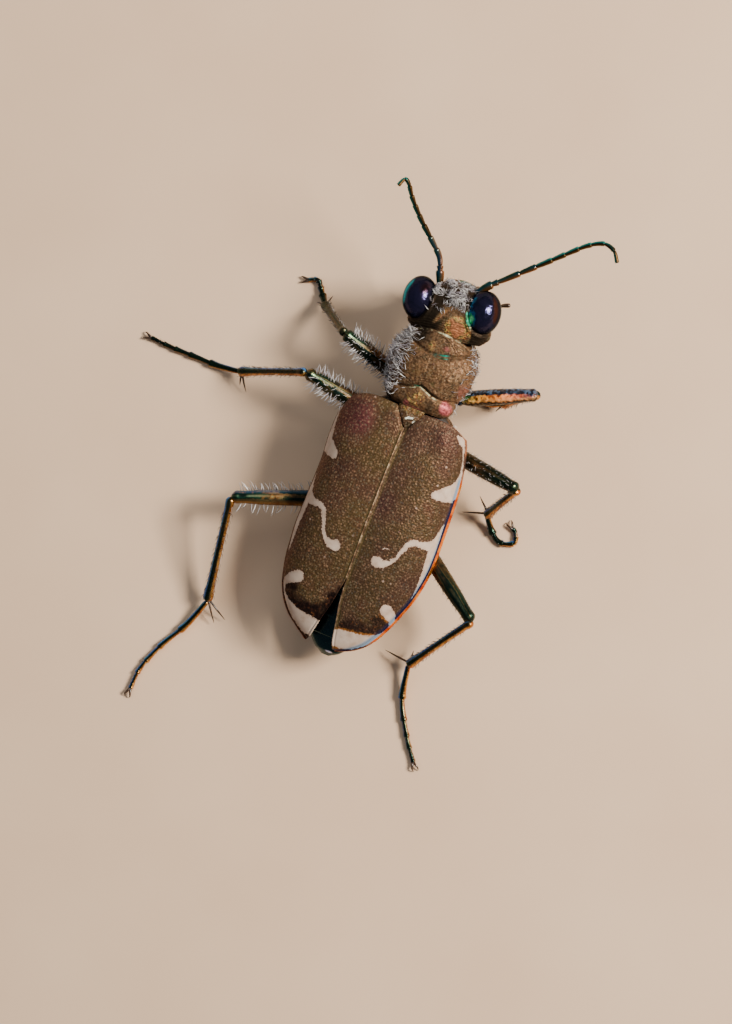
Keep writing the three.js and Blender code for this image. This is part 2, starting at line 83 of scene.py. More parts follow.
TAIL_BAND = (
    ((1.46, 5.67, 0.19), (1.72, 5.8, 0.17), (1.96, 6.02, 0.1), (1.88, 6.3, 0.07), (1.62, 6.54, 0.1)),
    ((1.62, 6.54, 0.1), (1.12, 6.8, 0.2), (0.72, 6.95, 0.29), (0.35, 6.99, 0.29)),
)
SCRATCH = ((0.7, 3.95, 0.004), (0.8, 3.88, 0.012), (0.92, 3.87, 0.004))

# Camera: it looks down on the back from a little to the beetle's right, with the tail low and to the left
CAMERA_LEAN = math.radians(9)
CAMERA_TURN = math.radians(21.9)
CAMERA_DISTANCE = 300.0
FRAME_HEIGHT = 30.72
FRAME_MIDDLE = (0.208, 3.063, 3.233)

# Each leg: its hip, how bright its thigh is, its knee and ankle, and the joints of its foot
FRONT_HIP = (0.45, -0.76, -1.9)
MIDDLE_HIP = (0.55, 0.5, -2.0)
HIND_HIP = (0.6, 2.88, -1.98)
LEGS = {
    "front_left": (FRONT_HIP, 0.85, (3.02, -1.7, 2.2), (4.19, -2.31, 0.45),
                   ((4.45, -2.6, 0.16), (4.72, -2.92, 0.1), (5.0, -2.83, 0.08))),
    "front_right": (FRONT_HIP, 0.5, (-3.14, -2.13, 2.1), (-2.02, -1.51, 0.45),
                    ((-1.6, -1.37, 0.16), (-1.1, -1.4, 0.1), (-0.6, -1.7, 0.09), (-0.3, -2.1, 0.08))),
    "middle_left": (MIDDLE_HIP, 0.7, (3.68, -0.18, 2.1), (5.88, 0.54, 0.4),
                    ((6.64, 0.62, 0.15), (7.31, 0.62, 0.1), (8.14, 0.62, 0.09), (8.85, 0.58, 0.08))),
    "middle_right": (MIDDLE_HIP, 0.25, (-3.65, 0.75, 2.1), (-2.82, 1.78, 0.45),
                     ((-3.08, 2.16, 0.16), (-3.44, 2.41, 0.1), (-3.86, 2.27, 0.09), (-3.78, 1.97, 0.08),
                      (-3.66, 1.88, 0.08))),
    "hind_left": (HIND_HIP, 0.95, (4.47, 4.16, 1.6), (4.16, 7.37, 0.4),
                  ((4.53, 8.27, 0.15), (5.03, 9.16, 0.1), (5.36, 10.03, 0.1), (5.41, 10.72, 0.08))),
    "hind_right": (HIND_HIP, 0.4, (-3.85, 4.94, 2.1), (-2.29, 6.88, 0.4),
                   ((-2.48, 7.94, 0.15), (-3.05, 8.95, 0.1), (-3.5, 9.56, 0.08))),
}
# Where the two spurs at the end of each shin point to
SPUR_TIPS = {
    "front_left": ((4.12, -2.66, 0.12), (4.5, -2.3, 0.15)),
    "front_right": ((-1.72, -1.75, 0.12), (-1.84, -1.22, 0.15)),
    "middle_left": ((5.5, 1.04, 0.15), (5.73, 0.91, 0.3)),
    "middle_right": ((-2.04, 1.98, 0.2), (-2.41, 1.33, 0.5)),
    "hind_left": ((3.48, 7.7, 0.15), (3.76, 7.91, 0.15)),
    "hind_right": ((-1.43, 6.72, 0.2), (-2.25, 6.42, 0.2)),
}
# The leg whose thigh is painted as lit by the sun
SUNLIT_LEG = "front_right"
TOE_ENDS = (0.36, 0.58, 0.74, 0.86, 1.0)
TOE_WIDTHS = (0.115, 0.1, 0.092, 0.085, 0.075)
CLAW_REACH = 0.27
# Side of the limbs painted with a blue-green sky reflection. The other side is painted copper, as lit by the
# key light.
SKY_SIDE = (0.9, -0.42, 0.1)

# Feelers, from the socket to the tip, and where each of their eleven joints ends
ANTENNA_PATHS = {
    "left": ((0.8, -4.1, 2.6), (0.92, -4.45, 2.72), (1.1, -4.87, 2.78), (1.45, -5.235, 3.05),
             (1.93, -5.685, 3.4), (2.37, -6.185, 3.75), (2.6, -6.54, 3.95), (2.76, -6.62, 4.02),
             (2.87, -6.37, 4.06)),
    "right": ((-0.32, -4.25, 2.62), (-0.62, -4.62, 2.72), (-1.05, -5.02, 2.75), (-1.98, -5.85, 3.1),
              (-2.53, -6.34, 3.35), (-3.04, -6.79, 3.5), (-3.5, -7.03, 3.6), (-3.86, -6.95, 3.6),
              (-4.09, -6.64, 3.55)),
}
ANTENNA_ENDS = (0.12, 0.155, 0.3, 0.41, 0.52, 0.61, 0.7, 0.78, 0.86, 0.93, 1.0)
ANTENNA_WIDTHS = (0.13, 0.104, 0.1, 0.097, 0.094, 0.09, 0.087, 0.083, 0.078, 0.073, 0.066)

# The two mouth feelers of a side: path, where their joints end, and half width
PALPS = (
    (((0.5, -0.55, -1.85), (0.85, -0.7, -2.3), (1.15, -0.95, -2.5), (1.46, -1.06, -2.42)),
     (0.2, 0.55, 0.78, 1.0), 0.07),
    (((0.25, -0.6, -1.85), (0.4, -0.7, -2.3), (0.5, -0.95, -2.6), (0.42, -1.15, -2.72)),
     (0.3, 0.7, 1.0), 0.075),
)
# Teeth of a jaw: root, tip and half width
JAW_TEETH = (
    ((0.62, -1.14, -2.5), (0.3, -1.14, -2.56), 0.1),
    ((0.58, -1.22, -2.68), (0.28, -1.24, -2.76), 0.09),
    ((0.62, -1.0, -2.28), (0.34, -1.0, -2.34), 0.11),
)
EYE_CENTRE = (1.0, -0.72, -0.75)
EYE_RADII = (0.52, 0.67, 0.62)

# How much closer together the rows of a limb are at its ends
ROW_CROWDING = 0.7

# Hairs: how many on each part, and the rings of each hair
LEFT_NECK_HAIRS = 1250
RIGHT_NECK_HAIRS = 190
THORAX_HAIRS = 1500
BELLY_HAIRS = 600
FACE_HAIRS = 640
HAIR_RINGS = 6
# Where each part's hairs lie on the unwrap: corner, width and height
NECK_TILE = (0, 0, 0.32, 0.32)
THORAX_TILE = (0.34, 0, 0.32, 0.32)
BELLY_TILE = (0.68, 0, 0.3, 0.32)
FACE_TILE = (0, 0.34, 0.32, 0.32)
# Side of the square on the unwrap that one hair takes up
HAIR_PATCH = 0.003

# Studio: half the side of the floor in metres, and the height and turn of the main light
FLOOR_HALF = 0.9
LIGHT_HEIGHT = math.radians(47)
LIGHT_TURN = math.radians(12)

GRAIN_SIDE = 32
SCATTER_SIDE = 256
GRAIN = np.random.default_rng(7).random((GRAIN_SIDE, GRAIN_SIDE, GRAIN_SIDE))
SCATTER = np.random.default_rng(11).random((2, SCATTER_SIDE, SCATTER_SIDE))


# Curves and small maths

def profile(*stations):
    """Smooth curve through (place, value) stations, without overshoot, level beyond its ends."""
    xs, ys = np.array(stations, float).T
    steps = np.diff(ys) / np.diff(xs)
    slopes = np.zeros(len(xs))
    inner = steps[:-1] * steps[1:] > 0
    slopes[1:-1][inner] = 2 / (1 / steps[:-1][inner] + 1 / steps[1:][inner])
    slopes[0], slopes[-1] = steps[0], steps[-1]

    def value(x):
        x = np.clip(x, xs[0], xs[-1])
        i = np.clip(np.searchsorted(xs, x, side="right") - 1, 0, len(xs) - 2)
        width = xs[i + 1] - xs[i]
        t = (x - xs[i]) / width
        rise = (1 + 2 * t) * (1 - t) ** 2 * ys[i] + t * t * (3 - 2 * t) * ys[i + 1]
        return rise + width * (t * (1 - t) ** 2 * slopes[i] - t * t * (1 - t) * slopes[i + 1])

    return value


def unit(vectors):
    vectors = np.asarray(vectors, float)
    return vectors / np.maximum(np.linalg.norm(vectors, axis=-1, keepdims=True), 1e-12)


def smooth(low, high, x):
    """0 below low, 1 above high and a soft step between them."""
    t = np.clip((x - low) / (high - low), 0, 1)
    return t * t * (3 - 2 * t)


def hump(x, middle, width):
    return np.exp(-(((x - middle) / width) ** 2))


def evenly(points, count):
    """Points set evenly along a line of points, and their distances from its start."""
    steps = np.linalg.norm(np.diff(points, axis=0), axis=1)
    far = np.concatenate([[0], np.cumsum(steps)])
    places = np.linspace(0, far[-1], count)
    return np.stack([np.interp(places, far, column) for column in points.T], -1), places


def trail(path, shares):
    """Points at shares of the length of a smooth curve through the points of path."""
    path = np.array(path, float)
    ends = np.vstack([2 * path[0] - path[1], path, 2 * path[-1] - path[-2]])
    fine = []
    for before, start, end, after in zip(ends, ends[1:], ends[2:], ends[3:]):
        for t in np.linspace(0, 1, 12, endpoint=False):
            bend = (end - before) * t + (2 * before - 5 * start + 4 * end - after) * t * t
            fine.append(start + 0.5 * (bend + (3 * start - before - 3 * end + after) * t ** 3))
    fine = np.array(fine + [path[-1]])
    steps = np.linalg.norm(np.diff(fine, axis=0), axis=1)
    far = np.concatenate([[0], np.cumsum(steps)]) / steps.sum()
    return np.stack([np.interp(shares, far, column) for column in fine.T], -1)


def clouds(points, size):
    """Soft random swell from 0 to 1 over points, with lumps of the given size."""
    places = np.asarray(points) / size
    cell = np.floor(places).astype(int)
    t = places - cell
    t = t * t * (3 - 2 * t)
    total = 0
    for corner in np.ndindex(2, 2, 2):
        weight = np.prod(np.where(corner, t, 1 - t), axis=-1)
        x, y, z = np.moveaxis((cell + corner) % GRAIN_SIDE, -1, 0)
        total = total + weight * GRAIN[x, y, z]
    return total


def pit_distance(across, along, spacing):
    """Distance, in spacings, from each place to the nearest of a scatter of pits."""
    u, v = across / spacing, along / spacing
    column, row = np.floor(u).astype(int), np.floor(v).astype(int)
    best = np.full(u.shape, 9.0)
    for i, j in np.ndindex(3, 3):
        x, y = column + i - 1, row + j - 1
        jitter = SCATTER[:, x % SCATTER_SIDE, y % SCATTER_SIDE] * 0.8 + 0.1
        best = np.minimum(best, np.hypot(x + jitter[0] - u, y + jitter[1] - v))
    return best


def stroke(across, along, line):
    """Signed distance from places to a rounded stroke through (across, along, half width) points."""
    best = np.full(np.shape(across), 9.0)
    for (x0, y0, r0), (x1, y1, r1) in zip(line, line[1:]):
        dx, dy = x1 - x0, y1 - y0
        t = np.clip(((across - x0) * dx + (along - y0) * dy) / (dx * dx + dy * dy), 0, 1)
        best = np.minimum(best, np.hypot(across - x0 - t * dx, along - y0 - t * dy) - r0 - t * (r1 - r0))
    return best


def strokes(across, along, lines):
    return np.minimum.reduce([stroke(across, along, line) for line in lines])


# Closed forms: points in millimetres, faces, and named values at each point

def form(points, quads, tris, fields=None, uv=None):
    return {"points": points, "quads": quads, "tris": tris, "fields": fields or {}, "uv": uv}


def signed_volume(shape):
    q, p = shape["quads"], shape["points"]
    tris = np.vstack([shape["tris"], q[:, [0, 1, 2]], q[:, [0, 2, 3]]])
    a, b, c = p[tris[:, 0]], p[tris[:, 1]], p[tris[:, 2]]
    return np.einsum("ij,ij->i", a, np.cross(b, c)).sum()


def skin(rings, **fields):
    """Closed body through rings, an array of m rings of n points, with a fan at each end."""
    m, n = rings.shape[:2]
    points = np.vstack([rings.reshape(-1, 3), rings[0].mean(0), rings[-1].mean(0)])
    row = (np.arange(m - 1) * n)[:, None]
    j = np.arange(n)[None]
    k = (j + 1) % n
    quads = np.stack([row + j, row + k, row + n + k, row + n + j], -1).reshape(-1, 4)
    front = np.stack([np.full(n, m * n), k[0], j[0]], -1)
    back = np.stack([np.full(n, m * n + 1), (m - 1) * n + j[0], (m - 1) * n + k[0]], -1)
    values = {}
    for name, field in fields.items():
        field = np.broadcast_to(field, (m, n))
        values[name] = np.concatenate([field.ravel(), [field[0].mean(), field[-1].mean()]])
    shape = form(points, quads, np.vstack([front, back]), values)
    if signed_volume(shape) < 0:
        shape["quads"] = shape["quads"][:, ::-1]
        shape["tris"] = shape["tris"][:, ::-1]
    return shape


def joined(shapes):
    """One form made of several, whose fields are all the same."""
    starts = np.cumsum([0] + [len(s["points"]) for s in shapes])
    return form(np.vstack([s["points"] for s in shapes]),
                np.vstack([s["quads"] + n for s, n in zip(shapes, starts)]),
                np.vstack([s["tris"] + n for s, n in zip(shapes, starts)]),
                {key: np.concatenate([s["fields"][key] for s in shapes]) for key in shapes[0]["fields"]},
                None if shapes[0]["uv"] is None else np.vstack([s["uv"] for s in shapes]))


def with_levels(shape, levels):
    """The form with new fields, each of them the same everywhere."""
    fields = {name: np.full(len(shape["points"]), float(level)) for name, level in levels.items()}
    return {**shape, "fields": fields}


def moved(shape, matrix):
    place = np.array(matrix)
    return {**shape, "points": shape["points"] @ place[:3, :3].T + place[:3, 3]}


def outward(rings):
    """Direction out of the body at each point of its rings."""
    along = np.gradient(rings, axis=0)
    around = np.roll(rings, -1, 1) - np.roll(rings, 1, 1)
    normals = unit(np.cross(around, along))
    spread = rings - rings.mean(1, keepdims=True)
    return normals if (normals * spread).sum() > 0 else -normals


def oval(width, top, middle, bottom, count, power=2.3):
    """Cross section as even (x, z) points, from the top round the beetle's left side and back."""
    t = np.linspace(0, 2 * np.pi, 241)
    x = width * np.sign(np.sin(t)) * np.abs(np.sin(t)) ** (2 / power)
    rise = np.sign(np.cos(t)) * np.abs(np.cos(t)) ** (2 / power)
    z = middle + np.where(rise > 0, top - middle, middle - bottom) * rise
    return evenly(np.stack([x, z], -1), count + 1)[0][:-1]


def limb(path, radius_at, sides, rows, up=(0, 0, 1), **fields):
    """Round tapering form along a smooth path. Its rows are closer together at its ends."""
    t = np.linspace(0, 1, rows)
    shares = t + ROW_CROWDING * (0.5 - 0.5 * np.cos(np.pi * t) - t)
    rings, spread = limb_rings(path, radius_at, sides, shares, up)
    values = {key: (f(shares)[:, None] if callable(f) else f) for key, f in fields.items()}
    # How far each point faces the sky side, for the painted sky reflection and painted copper light
    aside = spread[:, :1]
    cool = (spread * aside).sum(-1) * (aside @ unit(SKY_SIDE))
    streak = clouds(0.9 * spread + 0.25 * rings, 0.35)
    return skin(rings, share=shares[:, None], over=spread[..., 2], fore=-spread[..., 1], cool=cool,
                streak=streak, **values)


def limb_rings(path, radius_at, sides, shares, up):
    """Rings round a smooth path, and the direction out of it at each of their points."""
    centres = trail(path, shares)
    forward = unit(np.gradient(centres, axis=0))
    aside = unit(np.cross(forward, up))
    above = np.cross(aside, forward)
    angle = np.linspace(0, 2 * np.pi, sides, endpoint=False)[None, :, None]
    spread = np.cos(angle) * aside[:, None] + np.sin(angle) * above[:, None]
    return centres[:, None] + radius_at(shares)[:, None, None] * spread, spread


def rounded(*stations, start=0.04, end=0.04):
    """Radius along a limb whose two ends are rounded off within the given shares of its length."""
    width = profile(*stations)

    def radius(s):
        near = np.sqrt(np.clip(1 - (1 - np.clip(s / start, 0, 1)) ** 2, 0, 1))
        far = np.sqrt(np.clip(1 - (1 - np.clip((1 - s) / end, 0, 1)) ** 2, 0, 1))
        return width(s) * near * far + 0.0005

    return radius


def mirrored(points, side):
    return [(side * x, y, z) for x, y, z in points]


# The body's own axes, found from the scutellum, whose middle lies on them and whose corner is known

def body_axes():
    low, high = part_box("scutellum")
    y, z = SCUTELLUM_CORNER
    corner = y * math.cos(BODY_TILT) - z * math.sin(BODY_TILT)
    shift = ((low[0] + high[0]) / 2 / MM - BODY_PLACE[0], low[1] / MM - corner, 0)
    floor = Matrix.Translation(shift)
    body = floor @ Matrix.Translation(BODY_PLACE) @ Matrix.Rotation(BODY_TILT, 4, "X")
    head = body @ Matrix.Translation(HEAD_PLACE) @ Matrix.Rotation(HEAD_TURN, 4, "Z")
    return floor, body, head


FLOOR_AXES, BODY_AXES, HEAD_AXES = body_axes()


def in_floor_axes(point, axes):
    return np.array(FLOOR_AXES.inverted() @ axes @ Vector(point))


def piece(name, shape, axes, paint, slot, *nodes):
    """Puts a form into the scene as an object that rides on the body and stands for the named nodes."""
    shape = moved(shape, axes)
    mesh = bpy.data.meshes.new(name)
    faces = shape["quads"].tolist() + shape["tris"].tolist()
    mesh.from_pydata((shape["points"] * MM).tolist(), [], faces)
    for key, values in shape["fields"].items():
        mesh.attributes.new(key, "FLOAT", "POINT").data.foreach_set("value", values.astype(np.float32))
    if shape["uv"] is not None:
        corners = np.empty(len(mesh.loops), np.int32)
        mesh.loops.foreach_get("vertex_index", corners)
        mesh.uv_layers.new(name="OFBake").data.foreach_set("uv", shape["uv"][corners].ravel())
    mesh.shade_smooth()
    mesh.materials.append(paint)
    obj = bpy.data.objects.new(name, mesh)
    bpy.context.scene.collection.objects.link(obj)
    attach(obj, "root")
    if nodes:
        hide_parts(*nodes)


# Materials

class Paint:
    """A material with its shader. Sizes are in millimetres, and a name stands for the field of that name."""

    def __init__(self, name, **constants):
        self.material = bpy.data.materials.new(name)
        self.material.use_nodes = True
        self.nodes = self.material.node_tree.nodes
        self.link = self.material.node_tree.links.new
        self.shader = self.nodes["Principled BSDF"]
        self.place = self.nodes.new("ShaderNodeTexCoord").outputs["Object"]
        self.base = None
        for key, value in constants.items():
            self.shader.inputs[key.replace("_", " ")].default_value = value

    def node(self, kind, inputs=None, **settings):
        new = self.nodes.new(kind)
        for key, value in settings.items():
            setattr(new, key, value)
        for key, value in (inputs or {}).items():
            self.feed(new.inputs[key], value)
        return new

    def feed(self, socket, value):
        if isinstance(value, str):
            value = self.node("ShaderNodeAttribute", attribute_name=value).outputs["Fac"]
        if isinstance(value, bpy.types.NodeSocket):
            self.link(value, socket)
        elif isinstance(value, tuple) and socket.type == "RGBA":
            socket.default_value = (*value, 1)
        else:
            socket.default_value = value

    def noise(self, size, detail):
        inputs = {"Vector": self.place, "Scale": 1 / (size * MM), "Detail": detail}
        return self.node("ShaderNodeTexNoise", inputs).outputs["Fac"]

    def cells(self, size, output="Color"):
        inputs = {"Vector": self.place, "Scale": 1 / (size * MM)}
        return self.node("ShaderNodeTexVoronoi", inputs).outputs[output]

    def maths(self, operation, first, *others):
        total = first
        for other in others:
            total = self.node("ShaderNodeMath", {0: total, 1: other}, operation=operation).outputs[0]
        return total

    def vectors(self, operation, inputs):
        return self.node("ShaderNodeVectorMath", inputs, operation=operation).outputs[0]

    def times(self, *values):
        return self.maths("MULTIPLY", *values)

    def plus(self, *values):
        return self.maths("ADD", *values)

    def minus(self, *values):
        return self.maths("SUBTRACT", *values)

    def most(self, *values):
        return self.maths("MAXIMUM", *values)

    def span(self, value, low, high, to_low=0.0, to_high=1.0):
        inputs = {"Value": value, "From Min": low, "From Max": high, "To Min": to_low, "To Max": to_high}
        return self.node("ShaderNodeMapRange", inputs, interpolation_type="SMOOTHSTEP").outputs["Result"]

    def waver(self, size, detail, low, high):
        """Noise between low and high."""
        return self.span(self.noise(size, detail), 0.3, 0.7, low, high)

    def mix(self, share, a, b, blend="MIX"):
        new = self.node("ShaderNodeMix", data_type="RGBA", blend_type=blend)
        for place, value in ((0, share), (6, a), (7, b)):
            self.feed(new.inputs[place], value)
        return new.outputs[2]

    def lay(self, color, *shares):
        """Mixes a color into the base color, by the product of the shares."""
        self.base = self.mix(self.times(*shares), self.base, color)

    def ramp(self, value, *stops):
        """Colors along a value. Each stop is its place, red, green and blue."""
        new = self.node("ShaderNodeValToRGB", {"Fac": value})
        while len(new.color_ramp.elements) < len(stops):
            new.color_ramp.elements.new(0.5)
        for element, (position, *color) in zip(new.color_ramp.elements, stops):
            element.position = position
            element.color = (*color, 1)
        return new.outputs["Color"]

    def mottle(self, size, detail, *stops):
        return self.ramp(self.noise(size, detail), *stops)

    def bump(self, height, distance, strength=1.0, below=None):
        inputs = {"Height": height, "Distance": distance * MM, "Strength": strength}
        if below:
            inputs["Normal"] = below
        return self.node("ShaderNodeBump", inputs).outputs["Normal"]

    def facets(self, size, tilt, below):
        """Leans each small cell of the surface its own way, so that it glints."""
        lean = self.vectors("SUBTRACT", {0: self.cells(size), 1: (0.5, 0.5, 0.5)})
        lean = self.vectors("SCALE", {0: lean, "Scale": tilt})
        return self.vectors("NORMALIZE", {0: self.vectors("ADD", {0: below, 1: lean})})

    def finish(self, **sockets):
        for key, value in {"Base_Color": self.base, **sockets}.items():
            self.feed(self.shader.inputs[key.replace("_", " ").title()], value)
        return self.material


def add_flecks(paint, size, share):
    """Adds a fleck of copper, gold, green or brown at the middle of each small cell."""
    flecks = paint.ramp(paint.cells(size), (0.0, 0.34, 0.17, 0.1), (0.35, 0.3, 0.2, 0.12),
                        (0.5, 0.04, 0.02, 0.015), (0.7, 0.24, 0.2, 0.12), (0.85, 0.07, 0.09, 0.08),
                        (1.0, 0.34, 0.18, 0.16))
    paint.lay(flecks, paint.span(paint.cells(size, "Distance"), 0.6, 0.2), share)


def wing_paint():
    paint = Paint("wing_case_shell", Specular_IOR_Level=0.2, Specular_Tint=(0.9, 0.5, 0.3, 1.0))
    paint.base = paint.mottle(1.1, 3, (0.28, 0.046, 0.021, 0.016), (0.45, 0.06, 0.032, 0.018),
                              (0.6, 0.057, 0.037, 0.016), (0.75, 0.07, 0.031, 0.018))
    paint.lay((0.085, 0.022, 0.028), paint.span("shoulder", 0.15, 0.9), 0.75)
    # Painted shade in the pits
    pit = paint.span(paint.plus("pit", paint.waver(0.05, 2, -0.35, 0.35)), 0.0, 1.0)
    paint.lay(paint.mix(0.45, paint.base, (0.02, 0.012, 0.01)), pit)
    add_flecks(paint, 0.07, 0.32)
    # Painted light: the left wing case is brightened and the right one, which faces the key light, darkened
    even = paint.mix(paint.span("glow", 0.0, 0.2), (1.2, 1.17, 1.13), (0.87, 0.86, 0.9))
    paint.base = paint.mix(1.0, paint.base, even, "MULTIPLY")
    # Painted glints: a few bright dots
    glint_dots = paint.times(paint.span(paint.cells(0.3, "Distance"), 0.17, 0.08),
                       paint.span(paint.cells(0.3), 0.68, 0.74))
    paint.lay((0.42, 0.3, 0.24), glint_dots, 0.45)
    ragged = paint.times(paint.minus(paint.noise(0.07, 3), 0.5), 0.14)
    distance = paint.plus("ivory", ragged)
    border = paint.span(distance, 0.09, 0.02)
    paint.lay((0.05, 0.022, 0.014), border, 0.55)
    # Dark brown-black patches along the tail band, a little weaker on the right wing case
    tail = paint.span(paint.plus("tail", paint.minus(paint.noise(0.4, 4), 0.5)), 0.5, 0.2)
    tail_dark = paint.mottle(0.11, 3, (0.5, 0.007, 0.004, 0.004), (0.62, 0.03, 0.012, 0.008),
                        (0.74, 0.16, 0.06, 0.014))
    paint.lay(tail_dark, tail, paint.span("glow", 0.0, 1.0, 1.0, 0.82))
    # Painted light: a warm orange-brown edge on the ivory by the tail, on the lit right wing case only
    paint.lay((0.2, 0.075, 0.016), border, tail, "glow")
    seam = paint.span("seam", 0.03, 0.015)
    copper = paint.mottle(0.14, 3, (0.38, 0.1, 0.055, 0.03), (0.52, 0.3, 0.19, 0.11), (0.66, 0.6, 0.45, 0.28))
    paint.lay(copper, seam, 0.65)
    trench = paint.times(paint.span("seam", 0.03, 0.045), paint.span("seam", 0.13, 0.08))
    paint.lay((0.06, 0.046, 0.016), trench, 0.45)
    ivory = paint.mottle(0.3, 4, (0.28, 0.32, 0.23, 0.17), (0.5, 0.42, 0.32, 0.25), (0.72, 0.47, 0.37, 0.29))
    stain = paint.times(paint.span(distance, -0.09, -0.01), 0.35)
    ivory = paint.mix(stain, ivory, (0.3, 0.2, 0.14))
    mask = paint.span(distance, 0.012, -0.012)
    color = paint.mix(mask, paint.base, ivory)
    # Painted shade: navy in the groove along the rim, blue-grey where it crosses ivory, on the right wing
    # case only
    groove = paint.times(paint.span("edge", EDGE_GROOVE + 0.1, EDGE_GROOVE - 0.05),
                         paint.span("glow", 0.2, 0.6))
    color = paint.mix(groove, color, paint.mix(mask, (0.003, 0.008, 0.03), (0.14, 0.2, 0.27)))
    # The rim is partly its own copper and partly painted key light: orange on the right wing case, dark on
    # the left
    fold = paint.span("edge", EDGE_FOLD, EDGE_FOLD - 0.03)
    fire = paint.mottle(0.28, 3, (0.3, 0.5, 0.06, 0.01), (0.5, 0.85, 0.2, 0.02), (0.7, 0.95, 0.42, 0.06))
    rim = paint.mix(paint.span("fire", 0.0, 0.2), (0.05, 0.02, 0.016), (0.4, 0.24, 0.19))
    rim = paint.mix(paint.span("fire", 0.25, 0.8), rim, fire)
    color = paint.mix(fold, color, rim)
    shell = paint.most(paint.minus(1.0, mask), fold)
    metallic = paint.times(shell, paint.span(fold, 0.0, 1.0, 0.22, 0.95))
    rough = paint.waver(0.05, 2, 0.4, 0.55)
    rough = paint.minus(rough, paint.times(fold, 0.18))
    fine = paint.bump(paint.noise(0.022, 2), 0.005, 0.5)
    cups = paint.bump(paint.cells(0.06, "Distance"), 0.01, 0.5, fine)
    smooth_parts = paint.most(mask, fold)
    glints = paint.mix(smooth_parts, paint.facets(0.07, 0.14, cups), fine)
    return paint.finish(Base_Color=color, Metallic=metallic, Roughness=rough, Normal=glints)


def bronze_paint(name, warm, share=0.4, pale=(0.42, 0.4, 0.24)):
    """Wrinkled bronze with painted highlight on its ridges and painted shade between them, and gold, copper,
    green, dark (painted shade in places) and painted highlight from those fields.
    """
    paint = Paint(name, Specular_IOR_Level=0.22, Specular_Tint=(0.9, 0.55, 0.35, 1.0))
    paint.base = paint.mottle(0.32, 4, (0.3, 0.028, 0.018, 0.008), (0.45, 0.072, 0.036, 0.017),
                              (0.58, 0.1, 0.048, 0.023), (0.72, 0.056, 0.043, 0.015))
    # Painted light: lighter on the ridges of the wrinkles, darker in the hollows between them
    ridge = paint.span(paint.plus("ridge", paint.waver(0.07, 3, -0.5, 0.5)), 0.1, 0.9)
    paint.base = paint.mix(ridge, paint.mix(0.45, paint.base, (0.02, 0.012, 0.008)),
                           paint.mix(0.3, paint.base, (0.22, 0.13, 0.066)))
    add_flecks(paint, 0.06, share)
    patchy = paint.span(paint.noise(0.12, 3), 0.38, 0.62, 0.1, 1.0)
    gold = paint.mottle(0.1, 3, (0.34, 0.1, 0.035, 0.03), (0.43, 0.5, 0.2, 0.05), (0.52, 0.72, 0.46, 0.14),
                        (0.6, 0.12, 0.15, 0.03), (0.7, 0.04, 0.05, 0.01))
    paint.lay(gold, paint.span("gold", 0.2, 0.9), patchy)
    grain = paint.span(paint.noise(0.09, 3), 0.35, 0.65)
    hot = paint.mix(grain, tuple(0.35 * c for c in warm), warm)
    paint.lay(hot, paint.span("copper", 0.2, 0.9))
    green = paint.mottle(0.22, 2, (0.4, 0.004, 0.02, 0.014), (0.5, 0.008, 0.11, 0.05),
                         (0.62, 0.02, 0.34, 0.26))
    paint.lay(green, paint.span("green", 0.15, 0.85))
    # Darker where the dark field says: partly the own dark tone, partly painted shade on the head, pronotum
    # and shield
    paint.lay((0.012, 0.009, 0.006), paint.span("dark", 0.2, 0.9))
    # Painted highlights and glints from their field
    paint.lay(pale, paint.span("pale", 0.3, 0.9))
    rough = paint.waver(0.04, 2, 0.42, 0.58)
    fine = paint.bump(paint.noise(0.03, 3), 0.006, 0.5)
    cups = paint.bump(paint.cells(0.05, "Distance"), 0.008, 0.4, fine)
    return paint.finish(Metallic=0.35, Roughness=rough, Normal=paint.facets(0.045, 0.2, cups))


def belly_paint():
    paint = Paint("belly_shell", Coat_Weight=0.25, Coat_Roughness=0.12)
    paint.base = paint.mottle(0.9, 3, (0.3, 0.004, 0.02, 0.028), (0.5, 0.006, 0.035, 0.035),
                              (0.7, 0.014, 0.02, 0.06))
    paint.lay((0.17, 0.075, 0.03), paint.span("flank", 0.2, 0.9), 0.8)
    # Dark seams between the plates, and painted shade on the top of the thorax under the wing cases
    paint.lay((0.012, 0.008, 0.006), paint.span("seam", 0.3, 0.9))
    # Painted glint on the last ring
    paint.lay((0.75, 0.75, 1.0), paint.span("glint", 0.2, 0.8))
    fine = paint.bump(paint.noise(0.05, 3), 0.008, 0.45)
    rough = paint.waver(0.08, 2, 0.16, 0.3)
    rough = paint.plus(rough, paint.times("seam", 0.4))
    metallic = paint.span(paint.most("seam", "glint"), 0.3, 0.9, 0.8, 0.0)
    return paint.finish(Metallic=metallic, Roughness=rough, Normal=fine)


